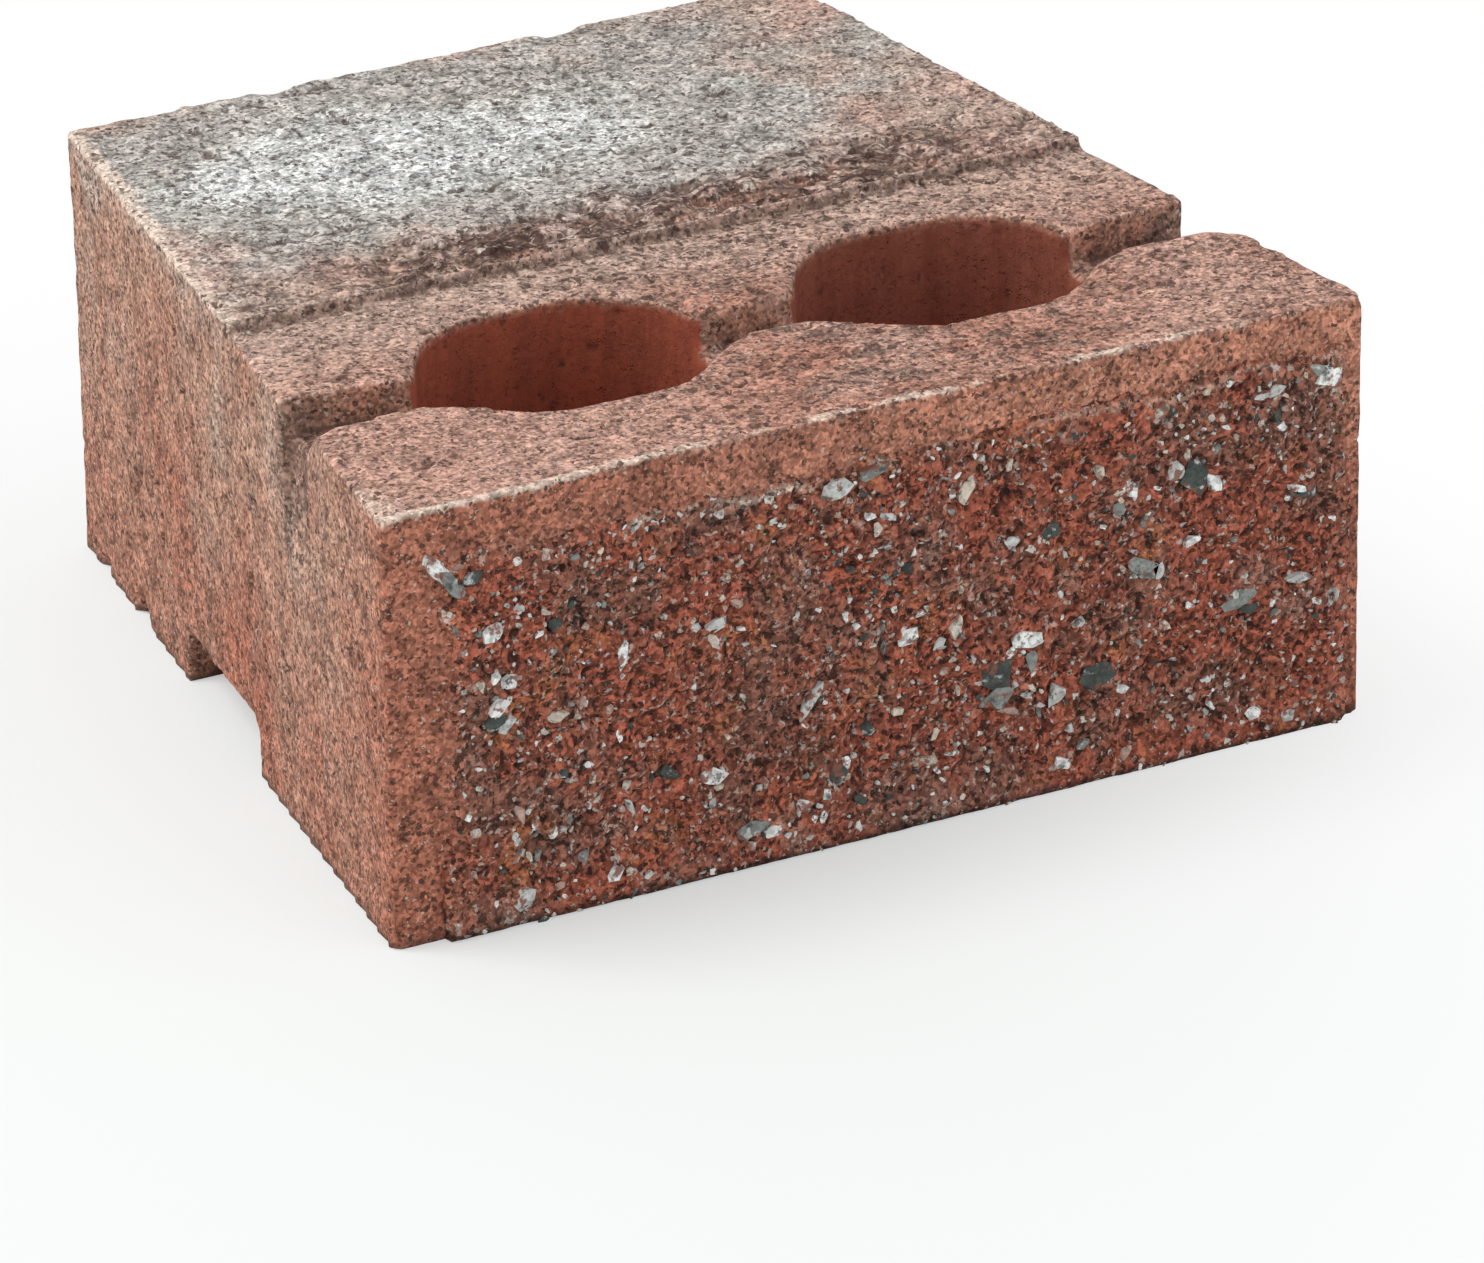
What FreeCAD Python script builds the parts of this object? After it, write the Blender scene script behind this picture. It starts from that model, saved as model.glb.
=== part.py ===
"""Concrete wall block: one piece of pressed concrete, split on its front face.

The block stands as it is laid. Its split face looks along -Y, its sides draw in towards the
back, +Z is up, and the origin is the middle of its footprint on the floor. All sizes are in mm.
"""
import FreeCAD, Part
import math
import os
import Sketcher

# alias, value, what the size is
SIZES = [
    ("face_width", 300, "width across the front, between the side arrises"),
    ("back_width", 232, "width across the back"),
    ("block_depth", 280, "from the proudest point of the split face to the back"),
    ("deck_height", 127, "height of the front deck, which holds the cores"),
    ("crown_rise", 3.5, "how far the rear crown stands above the deck"),
    ("crown_setback", 130, "from the moulded front to the crown's front edge"),
    ("corner_round", 3, "radius of the four upright corners"),
    ("face_relief", 4, "how far the split face stands in front of its moulded margin"),
    ("face_slope", 50, "lean of the split face's edges, in degrees"),
    ("margin_top", 15, "moulded margin above the split face"),
    ("margin_left", 18, "moulded margin at the left of the split face"),
    ("margin_right", 6, "moulded margin at the right of the split face"),
    ("margin_foot", 3, "moulded margin under the split face"),
    ("core_setback", 73, "from the moulded front to the centre line of the cores"),
    ("core_spacing", 116, "between the centres of the two cores"),
    ("core_length", 84, "length of a core across the block"),
    ("core_width", 67, "width of a core, front to back"),
    ("groove_setback", 61, "from the moulded front to the cross groove"),
    ("groove_width", 18, "width of the cross groove, front to back"),
    ("groove_depth", 12, "depth of the cross groove below the deck"),
    ("notch_reach", 8, "how far the groove's end notches cut into the sides"),
    ("notch_drop", 44, "how far down the sides the end notches run out"),
    ("channel_setback", 113, "from the moulded front to the channel under the block"),
    ("channel_width", 64, "width of the channel, front to back"),
    ("channel_depth", 16.5, "height of the channel above the floor"),
    ("channel_round", 5, "radius of the channel's two upper corners"),
]

ORIGIN_POINT = -1
HORIZONTAL_AXIS = -1
VERTICAL_AXIS = -2
START, END, CENTRE = 1, 2, 3

# places that several features share, as expressions on the sheet
FRONT = "(Sizes.face_relief - Sizes.block_depth / 2)"
BACK = "Sizes.block_depth / 2"
TOP = "(Sizes.deck_height + Sizes.crown_rise)"


def make_sizes(doc):
    """Write the driving sizes to the sheet, one named cell each."""
    sheet = doc.addObject("Spreadsheet::Sheet", "Sizes")
    for row, (alias, value, meaning) in enumerate(SIZES, start=1):
        sheet.set(f"A{row}", alias)
        sheet.set(f"B{row}", str(value))
        sheet.set(f"C{row}", meaning)
        sheet.setAlias(f"B{row}", alias)
    doc.recompute()
    return sheet


def side_at(setback):
    """Half the block's width at a setback from the moulded front, as an expression."""
    draw_in = "(Sizes.face_width - Sizes.back_width) / 2"
    body_depth = "(Sizes.block_depth - Sizes.face_relief)"
    return f"(Sizes.face_width / 2 - {draw_in} * ({setback}) / {body_depth})"


def value_of(sheet, expression):
    """The number that an expression on the sheet comes to."""
    return float(sheet.evalExpression(expression))


def add_sketch(body, name, plane_role, offset=None):
    """A sketch on one of the body's origin planes, moved along its normal by an expression."""
    sketch = body.newObject("Sketcher::SketchObject", name)
    plane = next(item for item in body.Origin.OriginFeatures if item.Role == plane_role)
    sketch.AttachmentSupport = [(plane, "")]
    sketch.MapMode = "FlatFace"
    if offset is not None:
        sketch.setExpression(".AttachmentOffset.Base.z", offset)
    return sketch


def pin(sketch, sheet, geometry, point, kind, expression):
    """Fix one coordinate of a point: kind is DistanceX or DistanceY, from the origin."""
    value = value_of(sheet, expression)
    if abs(value) < 1e-9:
        axis = VERTICAL_AXIS if kind == "DistanceX" else HORIZONTAL_AXIS
        sketch.addConstraint(Sketcher.Constraint("PointOnObject", geometry, point, axis))
        return
    ends = [(ORIGIN_POINT, START), (geometry, point)]
    if value < 0:
        ends.reverse()
        expression = f"-({expression})"
    (first, first_point), (second, second_point) = ends
    constraint = Sketcher.Constraint(kind, first, first_point, second, second_point, abs(value))
    index = sketch.addConstraint(constraint)
    sketch.setExpression(f"Constraints[{index}]", expression)


def add_polygon(sketch, sheet, corners):
    """Draw a closed outline whose corners are pairs of expressions."""
    points = [
        FreeCAD.Vector(value_of(sheet, across), value_of(sheet, up), 0) for across, up in corners
    ]
    lines = [
        sketch.addGeometry(Part.LineSegment(point, points[(number + 1) % len(points)]))
        for number, point in enumerate(points)
    ]
    for number, line in enumerate(lines):
        following = lines[(number + 1) % len(lines)]
        sketch.addConstraint(Sketcher.Constraint("Coincident", line, END, following, START))
        pin(sketch, sheet, line, START, "DistanceX", corners[number][0])
        pin(sketch, sheet, line, START, "DistanceY", corners[number][1])


def add_rectangle(sketch, sheet, left, right, low, high):
    """Draw a rectangle between four expressions."""
    add_polygon(sketch, sheet, [(left, low), (right, low), (right, high), (left, high)])


def add_slot(sketch, sheet, centre, setback, length, width):
    """Draw a round-ended slot that lies across the block."""
    reach = f"({length} - {width}) / 2"
    left, right = f"{centre} - {reach}", f"{centre} + {reach}"
    radius = value_of(sheet, f"{width} / 2")
    middle = value_of(sheet, setback)
    left_centre = FreeCAD.Vector(value_of(sheet, left), middle, 0)
    right_centre = FreeCAD.Vector(value_of(sheet, right), middle, 0)
    normal = FreeCAD.Vector(0, 0, 1)
    rise = FreeCAD.Vector(0, radius, 0)
    quarter = math.pi / 2

    left_circle = Part.Circle(left_centre, normal, radius)
    right_circle = Part.Circle(right_centre, normal, radius)
    left_end = sketch.addGeometry(Part.ArcOfCircle(left_circle, quarter, 3 * quarter))
    right_end = sketch.addGeometry(Part.ArcOfCircle(right_circle, -quarter, quarter))
    rear = sketch.addGeometry(Part.LineSegment(left_centre + rise, right_centre + rise))
    front = sketch.addGeometry(Part.LineSegment(left_centre - rise, right_centre - rise))

    for line, line_point, arc, arc_point in [
        (rear, START, left_end, START),
        (rear, END, right_end, END),
        (front, START, left_end, END),
        (front, END, right_end, START),
    ]:
        sketch.addConstraint(Sketcher.Constraint("Tangent", line, line_point, arc, arc_point))
    sketch.addConstraint(Sketcher.Constraint("Equal", left_end, right_end))
    index = sketch.addConstraint(Sketcher.Constraint("Radius", left_end, radius))
    sketch.setExpression(f"Constraints[{index}]", f"{width} / 2")
    for arc, across in [(left_end, left), (right_end, right)]:
        pin(sketch, sheet, arc, CENTRE, "DistanceX", across)
        pin(sketch, sheet, arc, CENTRE, "DistanceY", setback)


def recompute(body, feature, grows):
    """Rebuild, and refuse a feature that failed or that left the solid as it was."""
    before = feature.BaseFeature.Shape.Volume if feature.BaseFeature else 0.0
    body.Document.recompute()
    if not feature.isValid():
        raise RuntimeError(f"{feature.Name} failed")
    change = body.Shape.Volume - before
    if change * (1 if grows else -1) <= 0:
        raise RuntimeError(f"{feature.Name} changed the volume by {change:.1f} mm3")


def add_pad(body, sketch, name, length, taper=None):
    """Grow the solid from a sketch, along the sketch's normal."""
    pad = body.newObject("PartDesign::Pad", name)
    pad.Profile = sketch
    pad.setExpression("Length", length)
    if taper is not None:
        pad.setExpression("TaperAngle", taper)
    recompute(body, pad, grows=True)


def add_pocket(body, sketch, name, length, side="One side", reverse=False):
    """Cut the solid with a sketch, against the sketch's normal unless it is reversed."""
    pocket = body.newObject("PartDesign::Pocket", name)
    pocket.Profile = sketch
    pocket.SideType = side
    pocket.Reversed = reverse
    pocket.setExpression("Length", length)
    recompute(body, pocket, grows=False)


def add_fillet(body, name, radius, belongs, grows):
    """Round the edges that belongs(edge) picks on the solid as it stands."""
    base = body.Tip
    names = [
        f"Edge{number}" for number, edge in enumerate(base.Shape.Edges, start=1) if belongs(edge)
    ]
    fillet = body.newObject("PartDesign::Fillet", name)
    fillet.Base = (base, names)
    fillet.setExpression("Radius", radius)
    recompute(body, fillet, grows)


def is_upright(edge):
    """True for a straight edge that runs along Z."""
    low, high = edge.BoundBox.ZMin, edge.BoundBox.ZMax
    return high - low > 1 and abs(edge.Length - (high - low)) < 1e-6


def add_casting(body, sheet):
    """The solid mass: a plan that narrows to the back, with rounded upright corners."""
    plan = add_sketch(body, "plan", "XY_Plane")
    half_face, half_back = "Sizes.face_width / 2", "Sizes.back_width / 2"
    outline = [(f"-{half_face}", FRONT), (half_face, FRONT), (half_back, BACK), (f"-{half_back}", BACK)]
    add_polygon(plan, sheet, outline)
    add_pad(body, plan, "casting", TOP)
    add_fillet(body, "upright_corners", "Sizes.corner_round", is_upright, grows=False)


def add_split_face(body, sheet):
    """The split face, proud of the moulded margin that frames it."""
    face = add_sketch(body, "face_outline", "XZ_Plane", f"-{FRONT}")
    left = "-Sizes.face_width / 2 + Sizes.margin_left"
    right = "Sizes.face_width / 2 - Sizes.margin_right"
    add_rectangle(face, sheet, left, right, "Sizes.margin_foot", "Sizes.deck_height - Sizes.margin_top")
    add_pad(body, face, "split_face", "Sizes.face_relief", "-Sizes.face_slope")


def cut_deck(body, sheet):
    """Lower the front deck, so that the crown stands behind it."""
    side_view = add_sketch(body, "deck_side_view", "YZ_Plane")
    crown_front = f"{FRONT} + Sizes.crown_setback"
    add_rectangle(side_view, sheet, FRONT, crown_front, "Sizes.deck_height", TOP)
    add_pocket(body, side_view, "deck", "Sizes.face_width", side="Symmetric")


def cut_groove(body, sheet):
    """The groove across the deck, and the notch that each end of it makes in the side."""
    front = f"{FRONT} + Sizes.groove_setback"
    floor = "Sizes.deck_height - Sizes.groove_depth"
    side_view = add_sketch(body, "groove_side_view", "YZ_Plane")
    add_rectangle(side_view, sheet, front, f"{front} + Sizes.groove_width", floor, "Sizes.deck_height")
    add_pocket(body, side_view, "cross_groove", "Sizes.face_width", side="Symmetric")

    side = side_at("Sizes.groove_setback + Sizes.groove_width / 2")
    run_out = "Sizes.deck_height - 2 * Sizes.notch_drop"
    notches = add_sketch(body, "notch_front_view", "XZ_Plane", f"-({front})")
    for sign in ("-", "+"):
        inner, outer = f"{sign}({side} - Sizes.notch_reach)", f"{sign}({side} + Sizes.notch_reach)"
        corners = [(inner, "Sizes.deck_height"), (outer, run_out), (outer, TOP), (inner, TOP)]
        add_polygon(notches, sheet, corners)
    add_pocket(body, notches, "end_notches", "Sizes.groove_width")


def cut_channel(body, sheet):
    """The channel across the underside, which leaves a front foot and a rear foot."""
    front = f"{FRONT} + Sizes.channel_setback"
    side_view = add_sketch(body, "channel_side_view", "YZ_Plane")
    add_rectangle(side_view, sheet, front, f"{front} + Sizes.channel_width", "0", "Sizes.channel_depth")
    add_pocket(body, side_view, "channel", "Sizes.face_width", side="Symmetric")

    ceiling = value_of(sheet, "Sizes.channel_depth")
    walls = [value_of(sheet, front), value_of(sheet, f"{front} + Sizes.channel_width")]

    def is_channel_corner(edge):
        box = edge.BoundBox
        along_block = box.ZLength < 1e-6 and box.YLength < 1e-6
        at_wall = min(abs(box.YMin - wall) for wall in walls) < 1e-3
        return along_block and at_wall and abs(box.ZMin - ceiling) < 1e-3

    add_fillet(body, "channel_corners", "Sizes.channel_round", is_channel_corner, grows=True)


def cut_cores(body, sheet):
    """The two round-ended cores, right through from the deck to the front foot."""
    plan = add_sketch(body, "core_plan", "XY_Plane")
    middle = f"{FRONT} + Sizes.core_setback"
    for sign in ("-", "+"):
        centre = f"{sign}Sizes.core_spacing / 2"
        add_slot(plan, sheet, centre, middle, "Sizes.core_length", "Sizes.core_width")
    add_pocket(body, plan, "cores", TOP, reverse=True)


def check(doc, bodies):
    """Stop if any object failed or any piece isn't one sound solid."""
    for item in doc.Objects:
        if "Invalid" in item.State or "Error" in item.State:
            raise RuntimeError(f"{item.Name} is {item.State}")
    for body in bodies:
        if body.Shape.isNull() or not body.Shape.isValid() or len(body.Shape.Solids) != 1:
            raise RuntimeError(f"{body.Label} isn't one valid solid")


doc = FreeCAD.newDocument("concrete_wall_block")
sizes = make_sizes(doc)
wall_block = doc.addObject("PartDesign::Body", "wall_block")
wall_block.Label = "wall_block"
wall_block.Placement = FreeCAD.Placement()

add_casting(wall_block, sizes)
add_split_face(wall_block, sizes)
cut_deck(wall_block, sizes)
cut_groove(wall_block, sizes)
cut_channel(wall_block, sizes)
cut_cores(wall_block, sizes)

doc.recompute()
check(doc, [wall_block])
os.makedirs("parts", exist_ok=True)
wall_block.Shape.exportStep(f"parts/{wall_block.Label}.step")
print(f"{wall_block.Label}: {wall_block.Shape.Volume / 1e6:.3f} litres, {wall_block.Shape.BoundBox}")
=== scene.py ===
"""Looks of a pressed concrete wall block: its worn casting, its split face and its stone chips.

Lengths are in metres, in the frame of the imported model: X across the face, Y from the split
face to the back, Z up.
"""

import logging
import math
from dataclasses import dataclass, field
from enum import Enum
from typing import Sequence

import bmesh
import bpy
import numpy as np
from mathutils import Euler, Matrix, Vector

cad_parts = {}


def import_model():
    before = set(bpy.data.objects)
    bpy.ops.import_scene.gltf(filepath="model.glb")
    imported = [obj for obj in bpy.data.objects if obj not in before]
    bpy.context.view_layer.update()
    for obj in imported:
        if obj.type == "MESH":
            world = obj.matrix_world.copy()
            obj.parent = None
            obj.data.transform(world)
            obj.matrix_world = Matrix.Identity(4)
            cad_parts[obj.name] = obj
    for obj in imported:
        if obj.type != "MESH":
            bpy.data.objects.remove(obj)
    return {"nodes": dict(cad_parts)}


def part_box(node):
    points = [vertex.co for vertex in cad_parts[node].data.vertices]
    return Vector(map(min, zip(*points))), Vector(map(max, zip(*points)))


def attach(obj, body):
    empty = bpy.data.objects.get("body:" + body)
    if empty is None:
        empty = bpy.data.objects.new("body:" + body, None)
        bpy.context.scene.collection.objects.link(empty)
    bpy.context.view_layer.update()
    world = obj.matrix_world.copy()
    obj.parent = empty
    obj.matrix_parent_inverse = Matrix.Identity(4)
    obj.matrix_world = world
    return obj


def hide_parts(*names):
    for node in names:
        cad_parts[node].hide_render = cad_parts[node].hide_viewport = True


LOG = logging.getLogger("wall_block")
MM = 0.001
Colour = tuple[float, float, float]
PRIMES = (73856093, 19349663, 83492791)  # mixed with a cell's numbers to pick its random value


class Zone(Enum):
    """Point attributes that tell the finishes what part of the block a point is on, and where they paint
    shade or highlight.
    """

    SPLIT = "split"
    GREY = "grey"
    BLOOM = "bloom"
    CRUMBLE = "crumble"
    RECESS_SHADE = "recess_shade"
    VALLEY_SHADE = "valley_shade"
    WEAR_AND_HIGHLIGHT = "wear_and_highlight"
    ARRIS_AND_HIGHLIGHT = "arris_and_highlight"
    STEP = "step"
    INSIDE = "inside"
    DECK = "deck"


# ---------------------------------------------------------------- noise on points


class LatticeNoise:
    """Smooth random values on a lattice, the same on every run."""

    CELLS = 4096

    def __init__(self, seed: int) -> None:
        """Draw the lattice values.

        Args:
            seed: Picks one of the repeatable patterns.
        """
        self._values = np.random.default_rng(seed).uniform(-1.0, 1.0, self.CELLS)

    def _corner(self, cell: np.ndarray) -> np.ndarray:
        """The random value at each lattice corner, given as whole numbers."""
        mixed = cell[:, 0] * PRIMES[0] ^ cell[:, 1] * PRIMES[1] ^ cell[:, 2] * PRIMES[2]
        mixed = (mixed ^ (mixed >> 13)) * 1274126177
        return self._values[(mixed ^ (mixed >> 16)) & (self.CELLS - 1)]

    def sample(self, points: np.ndarray) -> np.ndarray:
        """Noise from about -1 to 1 at points measured in lattice cells.

        Args:
            points: One row for each point.

        Returns:
            One value for each point.
        """
        cell = np.floor(points).astype(np.int64)
        part = points - cell
        part = part * part * (3.0 - 2.0 * part)
        total = np.zeros(len(points))
        for dx in (0, 1):
            for dy in (0, 1):
                for dz in (0, 1):
                    step = np.array([dx, dy, dz])
                    weight = np.prod(np.where(step == 1, part, 1.0 - part), axis=1)
                    total += weight * self._corner(cell + step)
        return total

    def layered(
        self,
        points: np.ndarray,
        wavelength: float,
        octaves: int = 3,
        gain: float = 0.5,
        stretch: Sequence[float] = (1.0, 1.0, 1.0),
    ) -> np.ndarray:
        """Several octaves of noise, each half as long as the last.

        Args:
            points: One row for each point, in metres.
            wavelength: Size of the largest lumps, in metres.
            octaves: How many layers.
            gain: Height of each layer against the one before it.
            stretch: How much longer the lumps are along each axis.

        Returns:
            One value for each point, from about -1 to 1.
        """
        scaled = points / (wavelength * np.array(stretch))
        total = np.zeros(len(points))
        height, reach = 1.0, 0.0
        for octave in range(octaves):
            total += height * self.sample(scaled * 2.0**octave + 17.3 * octave)
            reach += height
            height *= gain
        return total / reach * 1.6


def ramp(value: np.ndarray, low: float, high: float) -> np.ndarray:
    """A smooth step from 0 at low to 1 at high."""
    share = np.clip((value - low) / (high - low), 0.0, 1.0)
    return share * share * (3.0 - 2.0 * share)


def read_points(mesh: bpy.types.Mesh) -> np.ndarray:
    """The mesh's vertices, one row for each."""
    points = np.zeros(len(mesh.vertices) * 3, np.float32)
    mesh.vertices.foreach_get("co", points)
    return points.reshape(-1, 3).astype(float)


# ---------------------------------------------------------------- the casting


@dataclass(frozen=True)
class BlockSizes:
    """Where the block's features lie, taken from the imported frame's box and the block's sizes."""

    low: Vector
    high: Vector
    face_relief: float = 4.0 * MM
    crown_rise: float = 3.5 * MM
    crown_setback: float = 130.0 * MM
    core_setback: float = 73.0 * MM
    core_spacing: float = 116.0 * MM
    core_length: float = 84.0 * MM
    core_width: float = 67.0 * MM
    groove_setback: float = 61.0 * MM
    groove_width: float = 18.0 * MM
    margin_left: float = 18.0 * MM
    margin_right: float = 5.5 * MM
    margin_foot: float = 3.2 * MM
    margin_top_left: float = 17.5 * MM
    margin_top_right: float = 13.0 * MM
    back_width: float = 232.0 * MM

    @property
    def front(self) -> float:
        """Y of the moulded front, behind the split face's relief."""
        return self.low.y + self.face_relief

    @property
    def deck(self) -> float:
        """Z of the front deck."""
        return self.high.z - self.crown_rise

    @property
    def crown_front(self) -> float:
        """Y of the crown's front edge."""
        return self.front + self.crown_setback

    @property
    def core_middle(self) -> float:
        """Y of the centre line of the cores."""
        return self.front + self.core_setback

    def core_half_length(self, along: float) -> float:
        """Half the length of a core's opening at a place along Y."""
        end = self.core_width / 2
        return (self.core_length - self.core_width) / 2 + np.sqrt(end**2 - (along - self.core_middle) ** 2)

    def half_width(self, along: float | np.ndarray) -> float | np.ndarray:
        """Half the block's width at a given Y."""
        share = (along - self.front) / (self.high.y - self.front)
        return self.high.x + (self.back_width / 2 - self.high.x) * share


@dataclass(frozen=True)
class Spall:
    """A place where a bit of the edge has broken away, as a dent of a given radius."""

    place: tuple[float, float, float]
    radius: float
    depth: float


@dataclass
class Casting:
    """The block's pressed body: worn edges, pits, spalls and an open, crumbling crown."""

    sizes: BlockSizes
    voxel: float = 1.15 * MM
    most_triangles: int = 196_000
    seat_depth: float = 1.6 * MM
    bow: float = 3.6 * MM
    horn_passes: int = 36
    spalls: tuple[Spall, ...] = (
        Spall((-0.1235, 0.086, 0.002), 8.0 * MM, 4.5 * MM),
        Spall((-0.1170, 0.120, 0.001), 6.0 * MM, 2.0 * MM),
        Spall((0.1480, -0.094, 0.127), 5.0 * MM, 1.6 * MM),
        Spall((0.0400, 0.139, 0.1305), 9.0 * MM, 2.2 * MM),
        Spall((-0.0500, 0.139, 0.1305), 7.0 * MM, 1.8 * MM),
        Spall((0.1190, -0.006, 0.1300), 7.0 * MM, 2.0 * MM),
        Spall((-0.0340, -0.136, 0.1240), 9.0 * MM, 1.2 * MM),
        Spall((-0.1360, -0.012, 0.1270), 8.0 * MM, 1.2 * MM),
    )
    attributes: dict[Zone, np.ndarray] = field(default_factory=dict)

    def build(self, node: bpy.types.Object, finish: bpy.types.Material) -> bpy.types.Object:
        """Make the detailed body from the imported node.

        Args:
            node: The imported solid, which is copied and left as it is.
            finish: The concrete.

        Returns:
            The finished piece, closed and at the origin.
        """
        mesh = self._even_mesh(node)
        points, normals, edges = self._read(mesh)
        rounded = self._smoothed(points, edges, passes=4)
        edge_height = np.einsum("ij,ij->i", points - rounded, normals)
        shaped = self._wear_edges(points, rounded, edge_height)
        shaped = self._bow_groove(points, shaped)
        shaped = self._round_horns(points, shaped, edges)
        shaped += normals * self._relief(points, normals)[:, None]
        shaped = self._seat_for_face(points, normals, shaped)
        shaped = self._break_spalls(shaped)
        shaped = np.clip(shaped, np.array(self.sizes.low), np.array(self.sizes.high))
        self._mark_zones(points, normals, shaped, edges, edge_height)
        mesh.vertices.foreach_set("co", shaped.astype(np.float32).ravel())
        store_attributes(mesh, self.attributes)
        return self._thinned(mesh, finish)

    def _even_mesh(self, node: bpy.types.Object) -> bpy.types.Mesh:
        """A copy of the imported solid, merged and divided into small even faces."""
        copy = node.data.copy()
        merged = bmesh.new()
        merged.from_mesh(copy)
        bmesh.ops.remove_doubles(merged, verts=merged.verts, dist=0.01 * MM)
        merged.to_mesh(copy)
        merged.free()
        return evaluated_copy(
            "even_block", copy, "REMESH", mode="VOXEL", voxel_size=self.voxel, adaptivity=0.0
        )

    @staticmethod
    def _read(mesh: bpy.types.Mesh) -> tuple[np.ndarray, np.ndarray, np.ndarray]:
        """The mesh's points, normals and edges as arrays."""
        normals = np.zeros(len(mesh.vertices) * 3, np.float32)
        mesh.vertex_normals.foreach_get("vector", normals)
        edges = np.zeros(len(mesh.edges) * 2, np.int32)
        mesh.edges.foreach_get("vertices", edges)
        return read_points(mesh), normals.reshape(-1, 3).astype(float), edges.reshape(-1, 2)

    @staticmethod
    def _smoothed(points: np.ndarray, edges: np.ndarray, passes: int) -> np.ndarray:
        """Points moved to the middle of their neighbours, several times over."""
        count = len(points)
        ends = np.concatenate([edges[:, 0], edges[:, 1]])
        others = np.concatenate([edges[:, 1], edges[:, 0]])
        degree = np.bincount(ends, minlength=count)
        result = points.copy()
        for _ in range(passes):
            sums = [np.bincount(ends, weights=result[others, axis], minlength=count) for axis in range(3)]
            result = 0.5 * result + 0.5 * np.stack(sums, axis=1) / degree[:, None]
        return result

    def _wear_edges(
        self, points: np.ndarray, rounded: np.ndarray, edge_height: np.ndarray
    ) -> np.ndarray:
        """Round the arrises, more in some places than in others, and leave the hollows sharp."""
        noise = LatticeNoise(11)
        amount = 0.55 + 0.9 * noise.layered(points, 13 * MM, 3, gain=0.65)
        amount = np.clip(amount, 0.05, 1.8)
        amount = np.where(edge_height > 0, amount, 0.12)
        amount *= 0.25 + 0.75 * ramp(points[:, 2], 1 * MM, 8 * MM)
        corner = ramp(np.abs(points[:, 0]), 140 * MM, 144 * MM) * (points[:, 2] < self.sizes.deck - 3 * MM)
        amount *= 1.0 - 0.6 * corner
        return points + (rounded - points) * amount[:, None]

    def _bow_groove(self, points: np.ndarray, shaped: np.ndarray) -> np.ndarray:
        """Bend the groove's rear wall back towards both ends, as the real mould leaves it."""
        sizes = self.sizes
        wall = sizes.front + sizes.groove_setback + sizes.groove_width
        near = 1.0 - ramp(np.abs(points[:, 1] - wall), 3 * MM, 11 * MM)
        out = ramp(np.abs(points[:, 0]), 92 * MM, 140 * MM)
        high = ramp(points[:, 2], sizes.deck - 46 * MM, sizes.deck - 14 * MM)
        bent = shaped.copy()
        bent[:, 1] += self.bow * near * out * high
        return bent

    def _round_horns(self, points: np.ndarray, shaped: np.ndarray, edges: np.ndarray) -> np.ndarray:
        """Round the free corners at the ends of the groove, and its mouths at the cores."""
        sizes = self.sizes
        groove_front = sizes.front + sizes.groove_setback
        groove_back = groove_front + sizes.groove_width
        high = ramp(points[:, 2], sizes.deck - 8 * MM, sizes.deck - 2 * MM)
        mouth = ramp(points[:, 2], sizes.deck - 22 * MM, sizes.deck - 13 * MM)
        reach = np.zeros(len(points))
        for side in (-1.0, 1.0):
            corner = np.array([side * sizes.half_width(groove_front), groove_front])
            flat = np.linalg.norm(points[:, :2] - corner, axis=1)
            reach = np.maximum(reach, high * (1.0 - ramp(flat, 2 * MM, 9 * MM)))
            for edge in (groove_front, groove_back):
                half = sizes.core_half_length(edge)
                for end in (-half, half):
                    corner = np.array([side * sizes.core_spacing / 2 + end, edge])
                    flat = np.linalg.norm(points[:, :2] - corner, axis=1)
                    reach = np.maximum(reach, mouth * (1.0 - ramp(flat, 2 * MM, 10 * MM)))
        where = np.flatnonzero(reach > 0.0)
        near = np.zeros(len(points), bool)
        near[where] = True
        kept = np.flatnonzero(near[edges[:, 0]] & near[edges[:, 1]])
        smooth = shaped.copy()
        ends = np.concatenate([edges[kept, 0], edges[kept, 1]])
        others = np.concatenate([edges[kept, 1], edges[kept, 0]])
        index = np.full(len(points), -1)
        index[where] = np.arange(len(where))
        degree = np.maximum(np.bincount(index[ends], minlength=len(where)), 1)
        local = smooth[where]
        held = reach[where][:, None]
        for _ in range(self.horn_passes):
            sums = [
                np.bincount(index[ends], weights=local[index[others], axis], minlength=len(where))
                for axis in range(3)
            ]
            average = np.stack(sums, axis=1) / degree[:, None]
            local = local + 0.7 * held * (average - local)
        smooth[where] = local
        return smooth

    def _relief(self, points: np.ndarray, normals: np.ndarray) -> np.ndarray:
        """How far each point stands out of its face: small lumps, pits and the crumbled crown."""
        sizes = self.sizes
        grain, pits, lumps = LatticeNoise(21), LatticeNoise(22), LatticeNoise(23)
        up = ramp(normals[:, 2], 0.5, 0.85)
        crown = up * ramp(points[:, 2], sizes.deck + 1.5 * MM, sizes.deck + 2.5 * MM)
        deck = up * (1.0 - crown)
        shown = 1.0 - 0.85 * ramp(-normals[:, 2], 0.5, 0.9) - 0.6 * self._inside(points, normals)
        along = np.abs(points[:, 1] - (sizes.front + sizes.groove_setback + sizes.groove_width / 2))
        below = 1.0 - ramp(points[:, 2], sizes.deck - 1 * MM, sizes.deck)
        shown *= 1.0 - 0.75 * below * (1.0 - ramp(along, 9.5 * MM, 11 * MM))
        shown *= 0.3 + 0.7 * ramp(points[:, 2], 1.5 * MM, 9 * MM)
        fine = grain.layered(points, 4.0 * MM, 2)
        wide = lumps.layered(points, 24 * MM, 3)
        height = (0.20 * fine + 0.24 * wide - 0.18) * MM

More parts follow.
